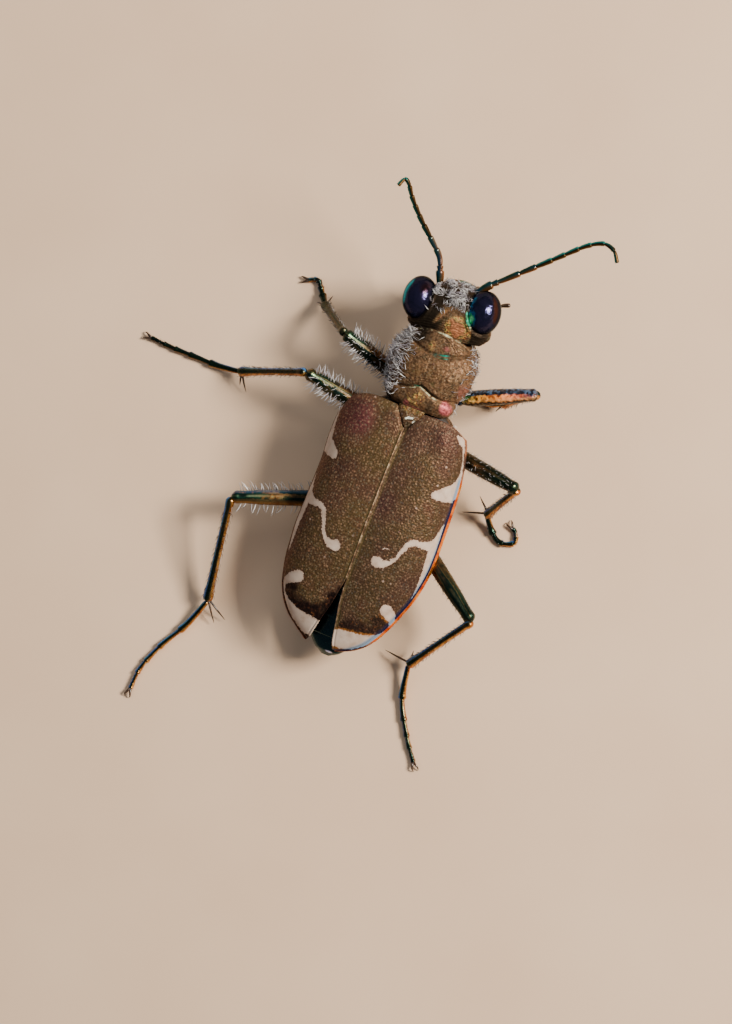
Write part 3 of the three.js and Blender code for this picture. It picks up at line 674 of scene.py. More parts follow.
def leg_paint():
    """Dark green metal with thin streaks along the limb, a painted blue-green sky reflection on one side and
    painted copper light on the other.
    """
    paint = Paint("leg_shell", Coat_Weight=0.06, Coat_Roughness=0.2)
    streak = paint.plus("streak", paint.waver(0.12, 2, -0.06, 0.06))
    streaks = paint.ramp(streak, (0.25, 0.006, 0.02, 0.016), (0.38, 0.006, 0.06, 0.03),
                         (0.46, 0.02, 0.03, 0.012), (0.52, 0.3, 0.13, 0.03), (0.58, 0.36, 0.3, 0.12),
                         (0.64, 0.02, 0.05, 0.02), (0.78, 0.008, 0.024, 0.02))
    dark = paint.mottle(0.5, 2, (0.3, 0.004, 0.012, 0.01), (0.55, 0.01, 0.026, 0.014),
                        (0.75, 0.016, 0.016, 0.01))
    paint.base = paint.mix(paint.times("gaudy", 0.85), dark, streaks)
    # Brown copper near the root on the upper side: partly the thigh's own copper, partly painted light from
    # above
    brown = paint.mottle(0.18, 3, (0.3, 0.05, 0.022, 0.01), (0.5, 0.16, 0.07, 0.026), (0.7, 0.24, 0.13, 0.05))
    near_root = paint.times(paint.span("share", 0.8, 0.4), paint.span("over", 0.0, 0.6))
    near_root = paint.times(near_root, paint.span(streak, 0.75, 0.5))
    paint.lay(brown, near_root, "gaudy")
    # Painted shade on the rear, lower side of the bright thighs
    paint.lay(dark, paint.span("fore", 0.05, -0.35), paint.times("gaudy", 0.8))
    # Painted light: a blue-green sky reflection on the sky side and copper key light on the other side
    teal = paint.mottle(0.35, 2, (0.35, 0.03, 0.15, 0.24), (0.65, 0.03, 0.11, 0.38))
    sky_sheen = paint.times(paint.span("cool", 0.25, 0.6), "tint")
    sky_sheen = paint.times(sky_sheen, paint.span("over", -0.15, 0.15))
    paint.lay(teal, sky_sheen)
    copper = paint.mottle(0.3, 2, (0.35, 0.36, 0.11, 0.02), (0.65, 0.65, 0.32, 0.08))
    paint.lay(copper, paint.span("cool", -0.2, -0.65), "tint")
    # Painted highlight along the upper front of the bright thighs
    highlight_line = paint.times(paint.span("fore", -0.02, 0.1), paint.span("fore", 0.4, 0.25))
    highlight_line = paint.times(highlight_line, "gaudy", paint.span("over", 0.5, 0.8))
    highlight_line = paint.times(highlight_line, paint.span(paint.noise(0.4, 3), 0.36, 0.5))
    highlight_ramp = paint.ramp("share", (0.5, 0.26, 0.13, 0.06), (0.7, 0.3, 0.2, 0.09), (0.85, 0.32, 0.44, 0.25),
                       (0.95, 0.1, 0.2, 0.1))
    paint.lay(highlight_ramp, highlight_line, 0.5)
    # The sunlit front right thigh: partly its own copper, painted as lit by the sun, with painted white
    # glints and painted shade underneath
    fire = paint.ramp(paint.plus("share", paint.waver(0.15, 3, -0.06, 0.06)), (0.06, 0.4, 0.5, 0.25),
                      (0.13, 0.02, 0.3, 0.05), (0.2, 1.0, 0.62, 0.12), (0.42, 1.0, 0.36, 0.04),
                      (0.7, 1.0, 0.3, 0.12), (0.86, 0.6, 0.16, 0.1), (0.97, 0.012, 0.02, 0.05))
    spark = paint.ramp(paint.cells(0.075), (0.2, 0.25, 0.08, 0.04), (0.35, 0.9, 0.7, 0.6),
                       (0.6, 1.0, 1.0, 1.0), (0.72, 0.45, 0.2, 0.12), (0.85, 1.0, 1.0, 1.0))
    fire = paint.mix(0.85, fire, spark, "MULTIPLY")
    sunlit_share = paint.span("warm", 0.5, 0.95)
    low_side = paint.plus("over", paint.waver(0.1, 2, -0.12, 0.12))
    paint.lay(paint.mix(paint.span(low_side, 0.35, 0.6), (0.02, 0.014, 0.01), fire), sunlit_share)
    crest = paint.plus("fore", paint.waver(0.1, 2, -0.1, 0.1))
    paint.lay((1.0, 0.5, 0.16), paint.span(crest, -0.3, -0.55), sunlit_share, 0.4)
    paint.lay((0.03, 0.014, 0.002), paint.span(crest, -0.62, -0.78), sunlit_share)
    navy = paint.ramp(paint.cells(0.08), (0.5, 0.012, 0.012, 0.02), (0.85, 0.08, 0.14, 0.24))
    paint.lay(navy, paint.span(crest, -0.06, 0.16), sunlit_share)
    fine = paint.bump(paint.noise(0.045, 3), 0.01, 0.8)
    rough = paint.waver(0.06, 2, 0.18, 0.34)
    rough = paint.plus(rough, paint.times(paint.span("share", 0.9, 0.75, 0.12, 0.36), "gaudy"))
    metallic = paint.minus(0.9, paint.times(paint.most(sunlit_share, sky_sheen), 0.6))
    normal = paint.mix(sunlit_share, fine, paint.facets(0.07, 0.55, fine))
    return paint.finish(Metallic=metallic, Roughness=rough, Normal=normal)


def eye_paint():
    paint = Paint("eye_lens", Coat_Weight=0.08, Coat_Roughness=0.04, IOR=1.4,
                  Specular_Tint=(0.2, 0.3, 0.36, 1.0))
    # Painted reflection: lighter purple-navy towards the top of the eye, as of the sky
    paint.base = paint.ramp("over", (0.3, 0.003, 0.01, 0.014), (0.7, 0.01, 0.012, 0.03),
                            (0.95, 0.035, 0.03, 0.075))
    mottle = paint.span(paint.noise(0.25, 3), 0.5, 0.75)
    paint.lay((0.002, 0.012, 0.016), mottle, 0.5)
    # Painted sky reflection on the outer rim, a painted brown reflection, and a painted green glint on the
    # right eye
    paint.lay((0.01, 0.4, 0.55), paint.span("teal", 0.2, 1.0))
    paint.lay((0.04, 0.014, 0.01), paint.span("wine", 0.2, 1.0))
    wavy = paint.plus("glaze", paint.waver(0.15, 2, -0.14, 0.14))
    glaze = paint.ramp(wavy, (0.3, 0.01, 0.02, 0.06), (0.5, 0.02, 0.16, 0.36), (0.64, 0.02, 0.4, 0.2),
                       (0.85, 0.2, 0.95, 0.5))
    paint.lay(glaze, paint.span("glaze", 0.05, 0.3))
    swell = paint.bump(paint.noise(0.13, 1), 0.02, 0.7)
    facets = paint.bump(paint.cells(0.026, "Distance"), 0.004, 0.6, swell)
    return paint.finish(Metallic=0.9, Roughness=0.16, Normal=facets)


def feeler_paint():
    paint = Paint("feeler_shell", Coat_Weight=0.03, Coat_Roughness=0.3, Specular_IOR_Level=0.2)
    dull = paint.mottle(0.2, 2, (0.3, 0.003, 0.004, 0.002), (0.7, 0.012, 0.01, 0.004))
    metal = paint.mottle(0.45, 2, (0.3, 0.008, 0.05, 0.11), (0.5, 0.012, 0.085, 0.09),
                         (0.7, 0.02, 0.06, 0.03))
    # Painted light: copper key light on one side, a blue-green sky reflection on the other
    metal = paint.mix(paint.span("cool", 0.2, -0.7), metal, (0.2, 0.08, 0.02))
    dull = paint.mix(paint.span("cool", 0.1, -0.8), dull, (0.12, 0.06, 0.016))
    dull = paint.mix(paint.span("cool", -0.1, 0.4), dull, (0.008, 0.15, 0.13))
    paint.base = paint.mix("metal", dull, metal)
    fine = paint.bump(paint.noise(0.02, 2), 0.004, 0.6)
    rough = paint.span("metal", 0.0, 1.0, 0.4, 0.22)
    sky_sheen = paint.times(paint.span("cool", 0.1, 0.6), paint.span("metal", 0.0, 1.0, 0.6, 0.0))
    return paint.finish(Metallic=paint.minus(0.85, sky_sheen), Roughness=rough, Normal=fine)


def jaw_paint():
    paint = Paint("jaw_horn", Coat_Weight=0.6, Coat_Roughness=0.1, Subsurface_Weight=0.1)
    paint.base = paint.ramp("share", (0.0, 0.5, 0.4, 0.24), (0.4, 0.45, 0.33, 0.18),
                            (0.6, 0.1, 0.035, 0.012), (1.0, 0.01, 0.006, 0.005))
    stain = paint.span(paint.noise(0.2, 3), 0.45, 0.75)
    paint.lay((0.09, 0.035, 0.012), stain, 0.35)
    return paint.finish(Roughness=0.25, Normal=paint.bump(paint.noise(0.05, 2), 0.005, 0.4))


def ivory_paint():
    paint = Paint("ivory_lip", Coat_Weight=0.4, Coat_Roughness=0.2, Subsurface_Weight=0.12)
    paint.base = paint.mottle(0.3, 3, (0.3, 0.5, 0.42, 0.28), (0.7, 0.66, 0.58, 0.42))
    paint.lay((0.05, 0.02, 0.01), paint.span("dark", 0.2, 0.9))
    return paint.finish(Roughness=0.32, Normal=paint.bump(paint.noise(0.04, 2), 0.005, 0.5))


def spine_paint():
    paint = Paint("dark_spine", Coat_Weight=0.4, Coat_Roughness=0.15)
    paint.base = paint.mottle(0.15, 2, (0.3, 0.012, 0.006, 0.004), (0.7, 0.05, 0.022, 0.01))
    return paint.finish(Roughness=0.3, Normal=paint.bump(paint.noise(0.03, 2), 0.003, 0.4))


def hair_paint():
    paint = Paint("white_hair", Coat_Weight=0.1, Coat_Roughness=0.3)
    silver = paint.ramp("shade", (0.0, 0.05, 0.04, 0.035), (0.3, 0.16, 0.145, 0.14),
                        (0.65, 0.36, 0.34, 0.35), (1.0, 0.8, 0.78, 0.75))
    silver = paint.mix(paint.times(paint.span(paint.noise(0.3, 2), 0.5, 0.7), 0.3), silver, (0.4, 0.33, 0.45))
    root = paint.span("share", 0.0, 0.4, 0.3, 1.0)
    paint.base = paint.mix(root, (0.08, 0.06, 0.045), silver)
    return paint.finish(Roughness=0.4)


# Wing cases

def wing_curves(side):
    tip = ((7.35, 0.74), (7.42, 0.66)) if side > 0 else ((7.35, 0.64), (7.42, 0.42))
    outer = profile((0, 1.88), (0.5, 2.0), (1.6, 2.12), (3.2, 2.18), (4, 2.2), (5, 2.1), (5.85, 1.88),
                    (6.3, 1.7), (6.85, 1.36), (7.15, 1.02), *tip)
    if side > 0:
        lean = profile((0, 0.16), (0.6, 0.2), (1.3, 0.14), (2.2, 0.04), (3.5, 0.02), (4.6, 0.05),
                       (6.3, 0.16), (7.42, 0.06))
        inner = profile((0, 0.004), (5.0, 0.005), (5.7, 0.12), (6.1, 0.2), (6.5, 0.32), (6.9, 0.43),
                        (7.25, 0.53), (7.42, 0.62))
    else:
        lean = profile((0, 0.04), (3.5, 0.02), (4.6, 0.05), (6.3, 0.16), (7.42, 0.06))
        inner = profile((0, 0.004), (5.5, 0.005), (6.0, 0.04), (6.5, 0.11), (7.1, 0.18), (7.35, 0.25),
                        (7.42, 0.34))
    return (lambda y: outer(y) + side * lean(y)), inner


wing_top = profile((0, 0), (1.5, 0.12), (3, 0.12), (4.5, -0.02), (6, -0.3), (7, -0.62), (7.42, -0.82))
wing_rim = profile((0, -1.0), (1, -1.18), (5, -1.2), (6.5, -1.17), (7.42, -1.15))
wing_front = profile((0, 0.32), (0.06, 0.16), (0.13, -0.12), (0.24, -0.29), (0.5, -0.3), (0.72, -0.24),
                     (0.94, 0.0), (1, 0.22))


def wing_section(outer, inner, high, low, count):
    """Arch of a wing case from its inner edge over to its rim, and distances from the seam."""
    start = math.asin(min(0.999, (inner / outer) ** (DOME_POWER / 2)))
    t = np.linspace(start, np.pi / 2, 160)
    x = outer * np.sin(t) ** (2 / DOME_POWER)
    z = low + (high - low) * np.maximum(np.cos(t), 0) ** (2 / DOME_POWER)
    points, places = evenly(np.stack([x, z], -1), count)
    return points, places + inner


def wing_case(side):
    outer_at, inner_at = wing_curves(side)
    rings, across, edge = [], [], []
    for v in np.linspace(0, 1, WING_ROWS):
        y = v * WING_LENGTH
        outer, inner, high, low = outer_at(y), inner_at(y), wing_top(y), wing_rim(y)
        shell = min(SHELL, 0.3 * (outer - inner))
        arch, places = wing_section(outer, inner, high, low, WING_COLUMNS)
        under, _ = wing_section(outer - shell, inner, high - shell, low, UNDER_COLUMNS)
        under = under[::-1]
        ring = np.vstack([arch, under])
        shift = wing_front(ring[:, 0] / outer) * (1 - v) ** 6
        drop = 0.09 * (1 - smooth(0, 0.03, v))
        rings.append(np.stack([side * ring[:, 0], y + shift, ring[:, 1] - drop], -1))
        far = np.concatenate([places, np.interp(under[:, 0], arch[:, 0], places)])
        across.append(far)
        edge.append(np.concatenate([places[-1] - places, np.zeros(UNDER_COLUMNS)]))
    rings, across, edge = np.array(rings), np.array(across), np.array(edge)
    normals = outward(rings)
    along = rings[..., 1]
    upper = np.zeros(across.shape)
    upper[:, :WING_COLUMNS] = 1
    seam = across - np.array([inner_at(y) for y in np.linspace(0, WING_LENGTH, WING_ROWS)])[:, None]
    open_field = smooth(0.05, 0.12, seam) * smooth(EDGE_FOLD, EDGE_FOLD + 0.08, edge)
    open_field = open_field * smooth(0.02, 0.1, along + 0.3)
    shoulder_band = LEFT_SHOULDER_BAND if side > 0 else RIGHT_SHOULDER_BAND
    marks = strokes(across, along, shoulder_band + MIDDLE_BAND + TAIL_BAND)
    if side < 0:
        marks = np.minimum(marks, stroke(across, along, SCRATCH))
    pits = 1 - smooth(0.12, 0.5, pit_distance(across, along, PIT_SPACING))
    open_field = open_field * smooth(-0.06, 0.04, marks)
    height = -PIT_DEPTH * pits * open_field
    height += 0.025 * (clouds(rings, 0.7) - 0.5) * open_field
    height += 0.014 * hump(seam, 0.018, 0.02) - 0.012 * hump(seam, 0.07, 0.025)
    height -= 0.035 * hump(edge, EDGE_FOLD + 0.06, 0.06)
    rim_swell = 0.012 if side > 0 else 0.045
    height += rim_swell * hump(edge, 0.1, 0.08) * smooth(0.6, 1.6, along) * smooth(7.2, 6.4, along)
    height += 0.05 * hump(across, 1.35, 0.35) * hump(along, 0.35, 0.4)
    height -= 0.04 * hump(across, 0.9, 0.25) * hump(along, 0.35, 0.45)
    rings = rings + normals * (height * upper)[..., None]
    tail = strokes(across, along, TAIL_BAND)
    tail = tail + 0.6 * smooth(6.1, 5.7, along) + 0.5 * smooth(0.4, 0.1, across)
    shoulder = 0.9 * hump(across, 1.35, 0.6) * hump(along, 0.5, 0.8) + 0.45 * hump(across, 2.2, 0.4)
    shoulder = shoulder * (1.0 if side > 0 else 0.45)
    # How much a wing case is painted as lit by the key light: none on the left, more towards the tail on the
    # right
    glow = 0.0 if side > 0 else 0.2 + 0.8 * smooth(1.0, 1.5, along)
    parted = smooth(5.1, 5.5, along) * (side > 0)
    tail = np.where(side > 0, np.minimum(tail, seam + 0.1 + 0.5 * smooth(5.9, 5.2, along)), tail)
    return skin(rings, ivory=np.clip(marks, -1, 1), edge=np.where(upper > 0, edge, 0),
                seam=np.where(upper > 0, seam + parted, 1), tail=np.clip(tail, -1, 1), shoulder=shoulder,
                glow=glow, fire=glow * smooth(7.0, 6.5, along), pit=pits)


# Plates of the body

def trunk(ys, width, top, middle, bottom, count, power=2.3):
    """Rings across the body at each y."""
    rings = []
    for y in ys:
        section = oval(width(y), top(y), middle(y), bottom(y), count, power)
        rings.append(np.stack([section[:, 0], np.full(count, y), section[:, 1]], -1))
    return np.array(rings)


def pronotum():
    width = profile((-2.76, 0.98), (-2.6, 1.12), (-2.3, 1.25), (-2.0, 1.31), (-1.5, 1.31), (-1.1, 1.2),
                    (-0.85, 1.1), (-0.65, 1.08), (-0.45, 1.0), (-0.33, 0.88))
    top = profile((-2.76, -0.3), (-2.66, -0.16), (-2.45, -0.12), (-2.2, -0.1), (-1.8, 0.0), (-1.5, 0.02),
                  (-1.15, -0.04), (-0.8, -0.08), (-0.5, -0.14), (-0.33, -0.26))
    middle = profile((-2.76, -0.95), (-0.33, -0.8))
    bottom = profile((-2.76, -1.66), (-2.5, -1.85), (-2, -1.92), (-1, -1.95), (-0.5, -1.85), (-0.33, -1.7))
    ys = -0.33 - 2.43 * (0.5 + 0.5 * np.cos(np.linspace(0, np.pi, 150)))
    ys = 0.5 * ys + 0.5 * np.linspace(ys[0], ys[-1], 150)
    rings = trunk(ys, width, top, middle, bottom, 260, 2.35)
    x, y, z = rings[..., 0].copy(), rings[..., 1].copy(), rings[..., 2]
    upper = smooth(-1.05, -0.75, z)
    front_bow = 0.24 * np.abs(x) ** 2 * smooth(-1.6, -2.76, y)
    rings[..., 1] += front_bow * smooth(-1.6, -0.6, z)
    y = rings[..., 1]
    normals = outward(rings)
    reach = np.abs(x)
    front_line = -2.08 - 0.2 * (reach / 0.8) ** 2
    rear_line = profile((0, -1.04), (0.2, -0.97), (0.45, -0.87), (0.8, -0.83), (1.1, -0.9))(reach)
    front_groove = hump(y, front_line, 0.065) * upper
    # Painted glint: blue-green lines along the front groove, carried by the green field
    glints = hump(y, front_line - 0.045, 0.03) + hump(y, front_line + 0.05, 0.025)
    glints = glints * hump(x, -0.34, 0.15) * upper
    rear_groove = hump(y, rear_line, 0.06) * upper
    mid_line = hump(x, 0, 0.03) * smooth(-2.6, -2.4, y) * smooth(-0.95, -1.15, y) * upper
    knob = hump(reach, 0.9, 0.21) * hump(y, -0.66, 0.19) * upper
    lobe = smooth(0.02, 0.1, y - rear_line) * upper
    margin = hump(y, y[0][None], 0.06) * upper
    waves = np.hypot(0.9 * (x - 0.1), y + 1.75) + 0.3 * clouds(rings, 0.3) + 0.16 * clouds(rings, 0.11)
    ripple = np.sin(2 * np.pi * waves / 0.09)
    calm = smooth(0.04, 0.16, np.abs(y - rear_line)) * smooth(0.25, 0.75, clouds(rings + 9.0, 0.2))
    calm = calm * smooth(0.15, 0.5, np.hypot(x - 0.1, y + 1.75)) * (1 - 0.7 * lobe)
    wrinkle = 1.5 * ripple * calm + 1.5 * (clouds(rings, 0.06) - 0.5)
    height = -0.07 * front_groove - 0.085 * rear_groove - 0.012 * mid_line + 0.07 * knob + 0.035 * margin
    height += 0.01 * wrinkle * upper + 0.014 * (clouds(rings, 0.16) - 0.5)
    height -= 0.05 * hump(z, -1.02, 0.05) * smooth(-2.7, -2.4, y)
    height -= 0.02 * hump(y, -2.62 + 0.24 * reach ** 2, 0.04) * upper
    rings = rings + normals * height[..., None]
    stripes = smooth(0.35, 0.6, clouds(rings * (1.6, 0.7, 1.0) + x[..., None] * (0, 0.6, 0), 0.09))
    gold = lobe * hump(np.hypot((x + 0.02) / 0.3, (y + 0.66) / 0.2), 0, 1.0) * (0.45 + 0.9 * stripes)
    gold = gold + 0.55 * hump(x, 0.12, 0.16) * hump(y, -2.3, 0.22) * upper
    gold = gold + 0.3 * hump(x, -0.3, 0.6) * hump(y, -1.5, 0.5)
    gold = gold + 0.25 * hump(x, 0.4, 0.3) * hump(y, -1.4, 0.4)
    flank = 0.4 * smooth(0.9, 1.15, -x) * hump(y, -1.3, 0.4) * upper
    copper = np.maximum(hump(x, -0.88, 0.2) * knob * 1.5, flank)
    copper = np.maximum(copper, 0.5 * hump(x, -0.33, 0.17) * hump(y, -2.36, 0.12) * upper)
    copper = np.maximum(copper, 0.65 * hump(x, 0.26, 0.12) * hump(y, -0.42, 0.14) * upper)
    rear_rim = 0.45 * hump(y, -0.36, 0.06) * smooth(0.4, 0.2, x) * smooth(-0.45, -0.2, x) * upper
    copper = np.maximum(copper, rear_rim)
    broken = smooth(0.3, 0.6, clouds(rings, 0.08))
    green = glints + 0.9 * rear_groove * hump(x, 0.06, 0.22) * broken
    green = green + 0.35 * hump(x, -0.05, 0.1) * hump(y, -2.1, 0.12)
    green = green + 0.7 * smooth(-1.05, -1.35, z)
    # Painted shade: darker in the front groove, on the underside, over the left side away from the key light
    # and just in front of the rear groove
    dark = np.maximum(0.5 * smooth(0.6, 1.0, front_groove) * (1 - glints), 0.62 * smooth(-1.05, -1.35, z))
    dark = np.maximum(dark, 0.85 * hump(x, 0.55, 0.4) * smooth(-2.05, -2.45, y) * upper)
    shadow = 0.9 * hump(y, rear_line - 0.05, 0.05) * smooth(0.1, -0.1, x) * smooth(-0.8, -0.5, x)
    dark = np.maximum(dark, shadow * upper)
    dark = np.maximum(dark, smooth(0.45, 0.95, x) * (0.55 * smooth(-0.55, -1.1, y) + 0.7 * lobe) * upper)
    dark = np.maximum(dark, 0.6 * lobe * hump(x, -0.45, 0.15))
    # Painted highlights: light lines along the front margin and behind the rear groove, and a bright spot on
    # the front margin
    front_edge = hump(y, y[0][None] + 0.035, 0.022) * upper * smooth(1.15, 0.9, reach)
    rear_edge = hump(y, rear_line + 0.035, 0.028) * smooth(-0.75, -0.5, x) * smooth(0.65, 0.45, x) * upper
    pale = front_edge * (0.3 + 0.28 * broken + 0.95 * hump(x, -0.14, 0.13))
    pale = pale + 0.6 * rear_edge * (0.6 + 0.8 * broken)
    shape = skin(rings, gold=gold * upper, copper=copper, green=np.clip(green, 0, 1), dark=dark,
                 pale=np.clip(pale, 0, 1), ridge=0.5 + 0.5 * ripple * calm)
    return shape, rings, outward(rings)


def scutellum():
    """Small three-cornered shield where the wing cases meet at the front."""
    taper = profile((0, 1.0), (0.45, 0.78), (0.8, 0.36), (1, 0.06))
    rings = []
    for share in np.linspace(0, 1, 40):
        section = oval(0.42 * taper(share), 0.04 - 0.06 * share, -0.12, -0.4, 48, 2.4)
        rings.append(np.stack([section[:, 0], np.full(48, -0.34 + 0.62 * share), section[:, 1]], -1))
    rings = np.array(rings)
    x, y, z = np.moveaxis(rings, -1, 0)
    height = 0.01 * (clouds(rings, 0.09) - 0.5) - 0.02 * hump(x, 0, 0.05)
    rings = rings + outward(rings) * height[..., None]
    # Painted glints on the shield
    pale = 1.4 * smooth(0.5, 0.62, clouds(rings, 0.06)) * hump(np.hypot(x + 0.07, y - 0.02), 0, 0.15)
    # Painted shade low on its sides and towards its rear
    return skin(rings, gold=0.5 * hump(y, -0.28, 0.16), copper=0 * x, green=0.3 * hump(y, 0.15, 0.12),
                pale=pale, dark=np.maximum(smooth(-0.05, -0.2, z), 0.45 * smooth(-0.25, 0.0, y)),
                ridge=0.6 * clouds(rings, 0.06))


def thorax():
    """Middle and hind rings of the body under the wing cases, with the seams between their side plates."""
    width = profile((-0.55, 0.7), (-0.3, 1.1), (0.1, 1.4), (1, 1.5), (2.2, 1.55), (3.2, 1.5), (3.5, 1.3))
    top = profile((-0.55, -0.72), (-0.3, -0.55), (0.1, -0.45), (1.5, -0.5), (3.5, -0.7))
    middle = profile((-0.55, -1.1), (3.5, -1.3))
    bottom = profile((-0.55, -1.5), (-0.3, -1.72), (0.1, -1.95), (0.6, -2.08), (2.95, -2.12), (3.5, -2.0))
    rings = trunk(np.linspace(-0.55, 3.5, 110), width, top, middle, bottom, 180, 2.5)
    x, y, z = np.moveaxis(rings, -1, 0)
    side = smooth(0.7, 1.2, np.abs(x))
    seams = np.maximum(hump(y + 0.35 * (z + 1.5), 0.45, 0.035), hump(y - 0.2 * (z + 1.5), 1.25, 0.035))
    seams = np.maximum(seams, hump(z + 0.1 * y, -1.55, 0.03) * smooth(1.2, 1.5, y)) * side
    middle_seam = hump(x, 0, 0.03) * smooth(-1.9, -2.0, z)
    cross_seam = hump(y, 1.45 + 0.3 * np.abs(x), 0.035) * smooth(-1.8, -1.95, z)
    seams = np.maximum.reduce([seams, middle_seam, cross_seam])
    height = -0.04 * seams + 0.02 * (clouds(rings, 0.3) - 0.5)
    rings = rings + outward(rings) * height[..., None]
    # The top of the thorax, in shade under the wing cases, is painted dark as shade
    seams = np.maximum(seams, smooth(-1.0, -0.8, z))
    return skin(rings, flank=side * smooth(-2.0, -1.6, z), seam=seams, glint=0.0), rings, outward(rings)


def abdomen():
    """Belly plates that overlap towards the tail, with a shining last ring between the wing tips that carries
    a painted glint.
    """
    width = profile((2.9, 1.35), (3.25, 1.5), (4.2, 1.52), (5.5, 1.38), (6.4, 1.1), (7.1, 0.72),
                    (7.5, 0.42), (7.68, 0.12))
    top = profile((2.9, -0.7), (3.25, -0.78), (5, -0.9), (6, -1.05), (7, -1.12), (7.5, -1.3), (7.68, -1.5))
    middle = profile((2.9, -1.4), (7, -1.42), (7.68, -1.54))
    bottom = profile((2.9, -2.05), (3.25, -2.1), (4, -2.08), (5.5, -1.98), (6.6, -1.84), (7.4, -1.72),
                     (7.68, -1.6))
    t = np.linspace(0, 1, 170)
    ys = 2.9 + 4.78 * (t + 0.18 * np.sin(np.pi * t) * t)
    rings = trunk(np.minimum(ys, 7.68), width, top, middle, bottom, 150, 2.4)
    x, y, z = np.moveaxis(rings, -1, 0)
    ends = np.array([3.7, 4.4, 5.1, 5.8, 6.5, 7.1, 9.0])
    bowed = y - 0.12 * smooth(-1.5, -2.1, z) * (1 - np.abs(x))
    number = np.searchsorted(ends, bowed.ravel()).reshape(y.shape)
    to_end = ends[number] - bowed
    lip = 0.035 * smooth(0.5, 0.0, to_end) - 0.02
    seams = hump(to_end, 0.0, 0.03)
    edge_line = hump(z, -1.25 - 0.03 * y, 0.03) * (y < 7.2)
    height = lip * smooth(7.6, 7.0, y) - 0.03 * edge_line + 0.01 * (clouds(rings, 0.2) - 0.5)
    rings = rings + outward(rings) * height[..., None]
    flank = 0.35 * smooth(0.8, 1.3, np.abs(x)) * smooth(6.5, 5.0, y)
    # Painted glint on the last ring
    glint = hump(x, -0.1, 0.12) * hump(y, 7.54, 0.035) * smooth(-1.5, -1.42, z)
    shape = skin(rings, flank=flank, seam=np.maximum(seams * 0.7, edge_line), glint=glint)
    return shape, rings, outward(rings)


def hip(leg):
    """Hip bulge of a leg with the short joint that carries its thigh, and the root of that thigh."""
    place, _, knee, _, _ = LEGS[leg]
    side = 1 if leg.endswith("left") else -1
    centre = in_floor_axes((side * place[0], *place[1:]), BODY_AXES)
    aim = unit(np.array(knee) - centre)
    level = unit((aim[0], aim[1], 0.0))
    root = centre + level * 0.5 + np.array((0, 0, -0.1))
    start = centre - level * 0.45 + np.array((0, 0, 0.12))
    swell = rounded((0, 0.3), (0.4, 0.4), (0.8, 0.3), (1, 0.22), start=0.3, end=0.2)
    bulge = limb([start, centre, root], swell, 28, 36)
    swell = rounded((0, 0.2), (1, 0.21), start=0.4, end=0.4)
    swing = limb([root - level * 0.12, root + level * 0.14 + aim * 0.06], swell, 24, 18)
    both = joined([bulge, swing])
    levels = {"flank": 0.25, "seam": 0.0, "glint": 0.0}
    return with_levels(both, levels), root + level * 0.1


# Head

def head_section(t, count):
    """One ring of the head, whose plane leans over from the neck at t = 0 to the mouth at t = 1."""
    top_y = profile((0, 0.3), (0.12, 0.0), (0.3, -0.38), (0.5, -0.8), (0.68, -1.14), (0.8, -1.32),
                    (0.9, -1.4), (1, -1.38))
    top_z = profile((0, -0.62), (0.12, -0.42), (0.3, -0.27), (0.5, -0.26), (0.68, -0.4), (0.8, -0.68),
                    (0.9, -1.1), (1, -1.65))
    low_y = profile((0, 0.3), (0.12, 0.02), (0.3, -0.3), (0.5, -0.6), (0.75, -0.75), (1, -0.85))
    low_z = profile((0, -1.35), (0.12, -1.55), (0.3, -1.72), (0.6, -1.84), (1, -1.9))
    width = profile((0, 1.0), (0.12, 1.23), (0.25, 1.28), (0.45, 1.07), (0.62, 0.88), (0.8, 0.8),
                    (0.92, 0.74), (1, 0.66))
    section = oval(1.0, 1.0, 0.0, -1.0, count, 2.3)
    up = (section[:, 1] + 1) / 2
    high = np.array((top_y(t), top_z(t)))
    low = np.array((low_y(t), low_z(t)))
    plane = low + up[:, None] * (high - low)
    temple = 1 + 0.085 * hump(t, 0.07, 0.13) * (section[:, 0] < 0)
    return np.stack([width(t) * temple * section[:, 0], plane[:, 0], plane[:, 1]], -1)


def eye_level(points, side):
    """1 on the surface of an eye, more outside it."""
    offset = (points - np.array(EYE_CENTRE) * (side, 1, 1)) / EYE_RADII
    return np.linalg.norm(offset, axis=-1)


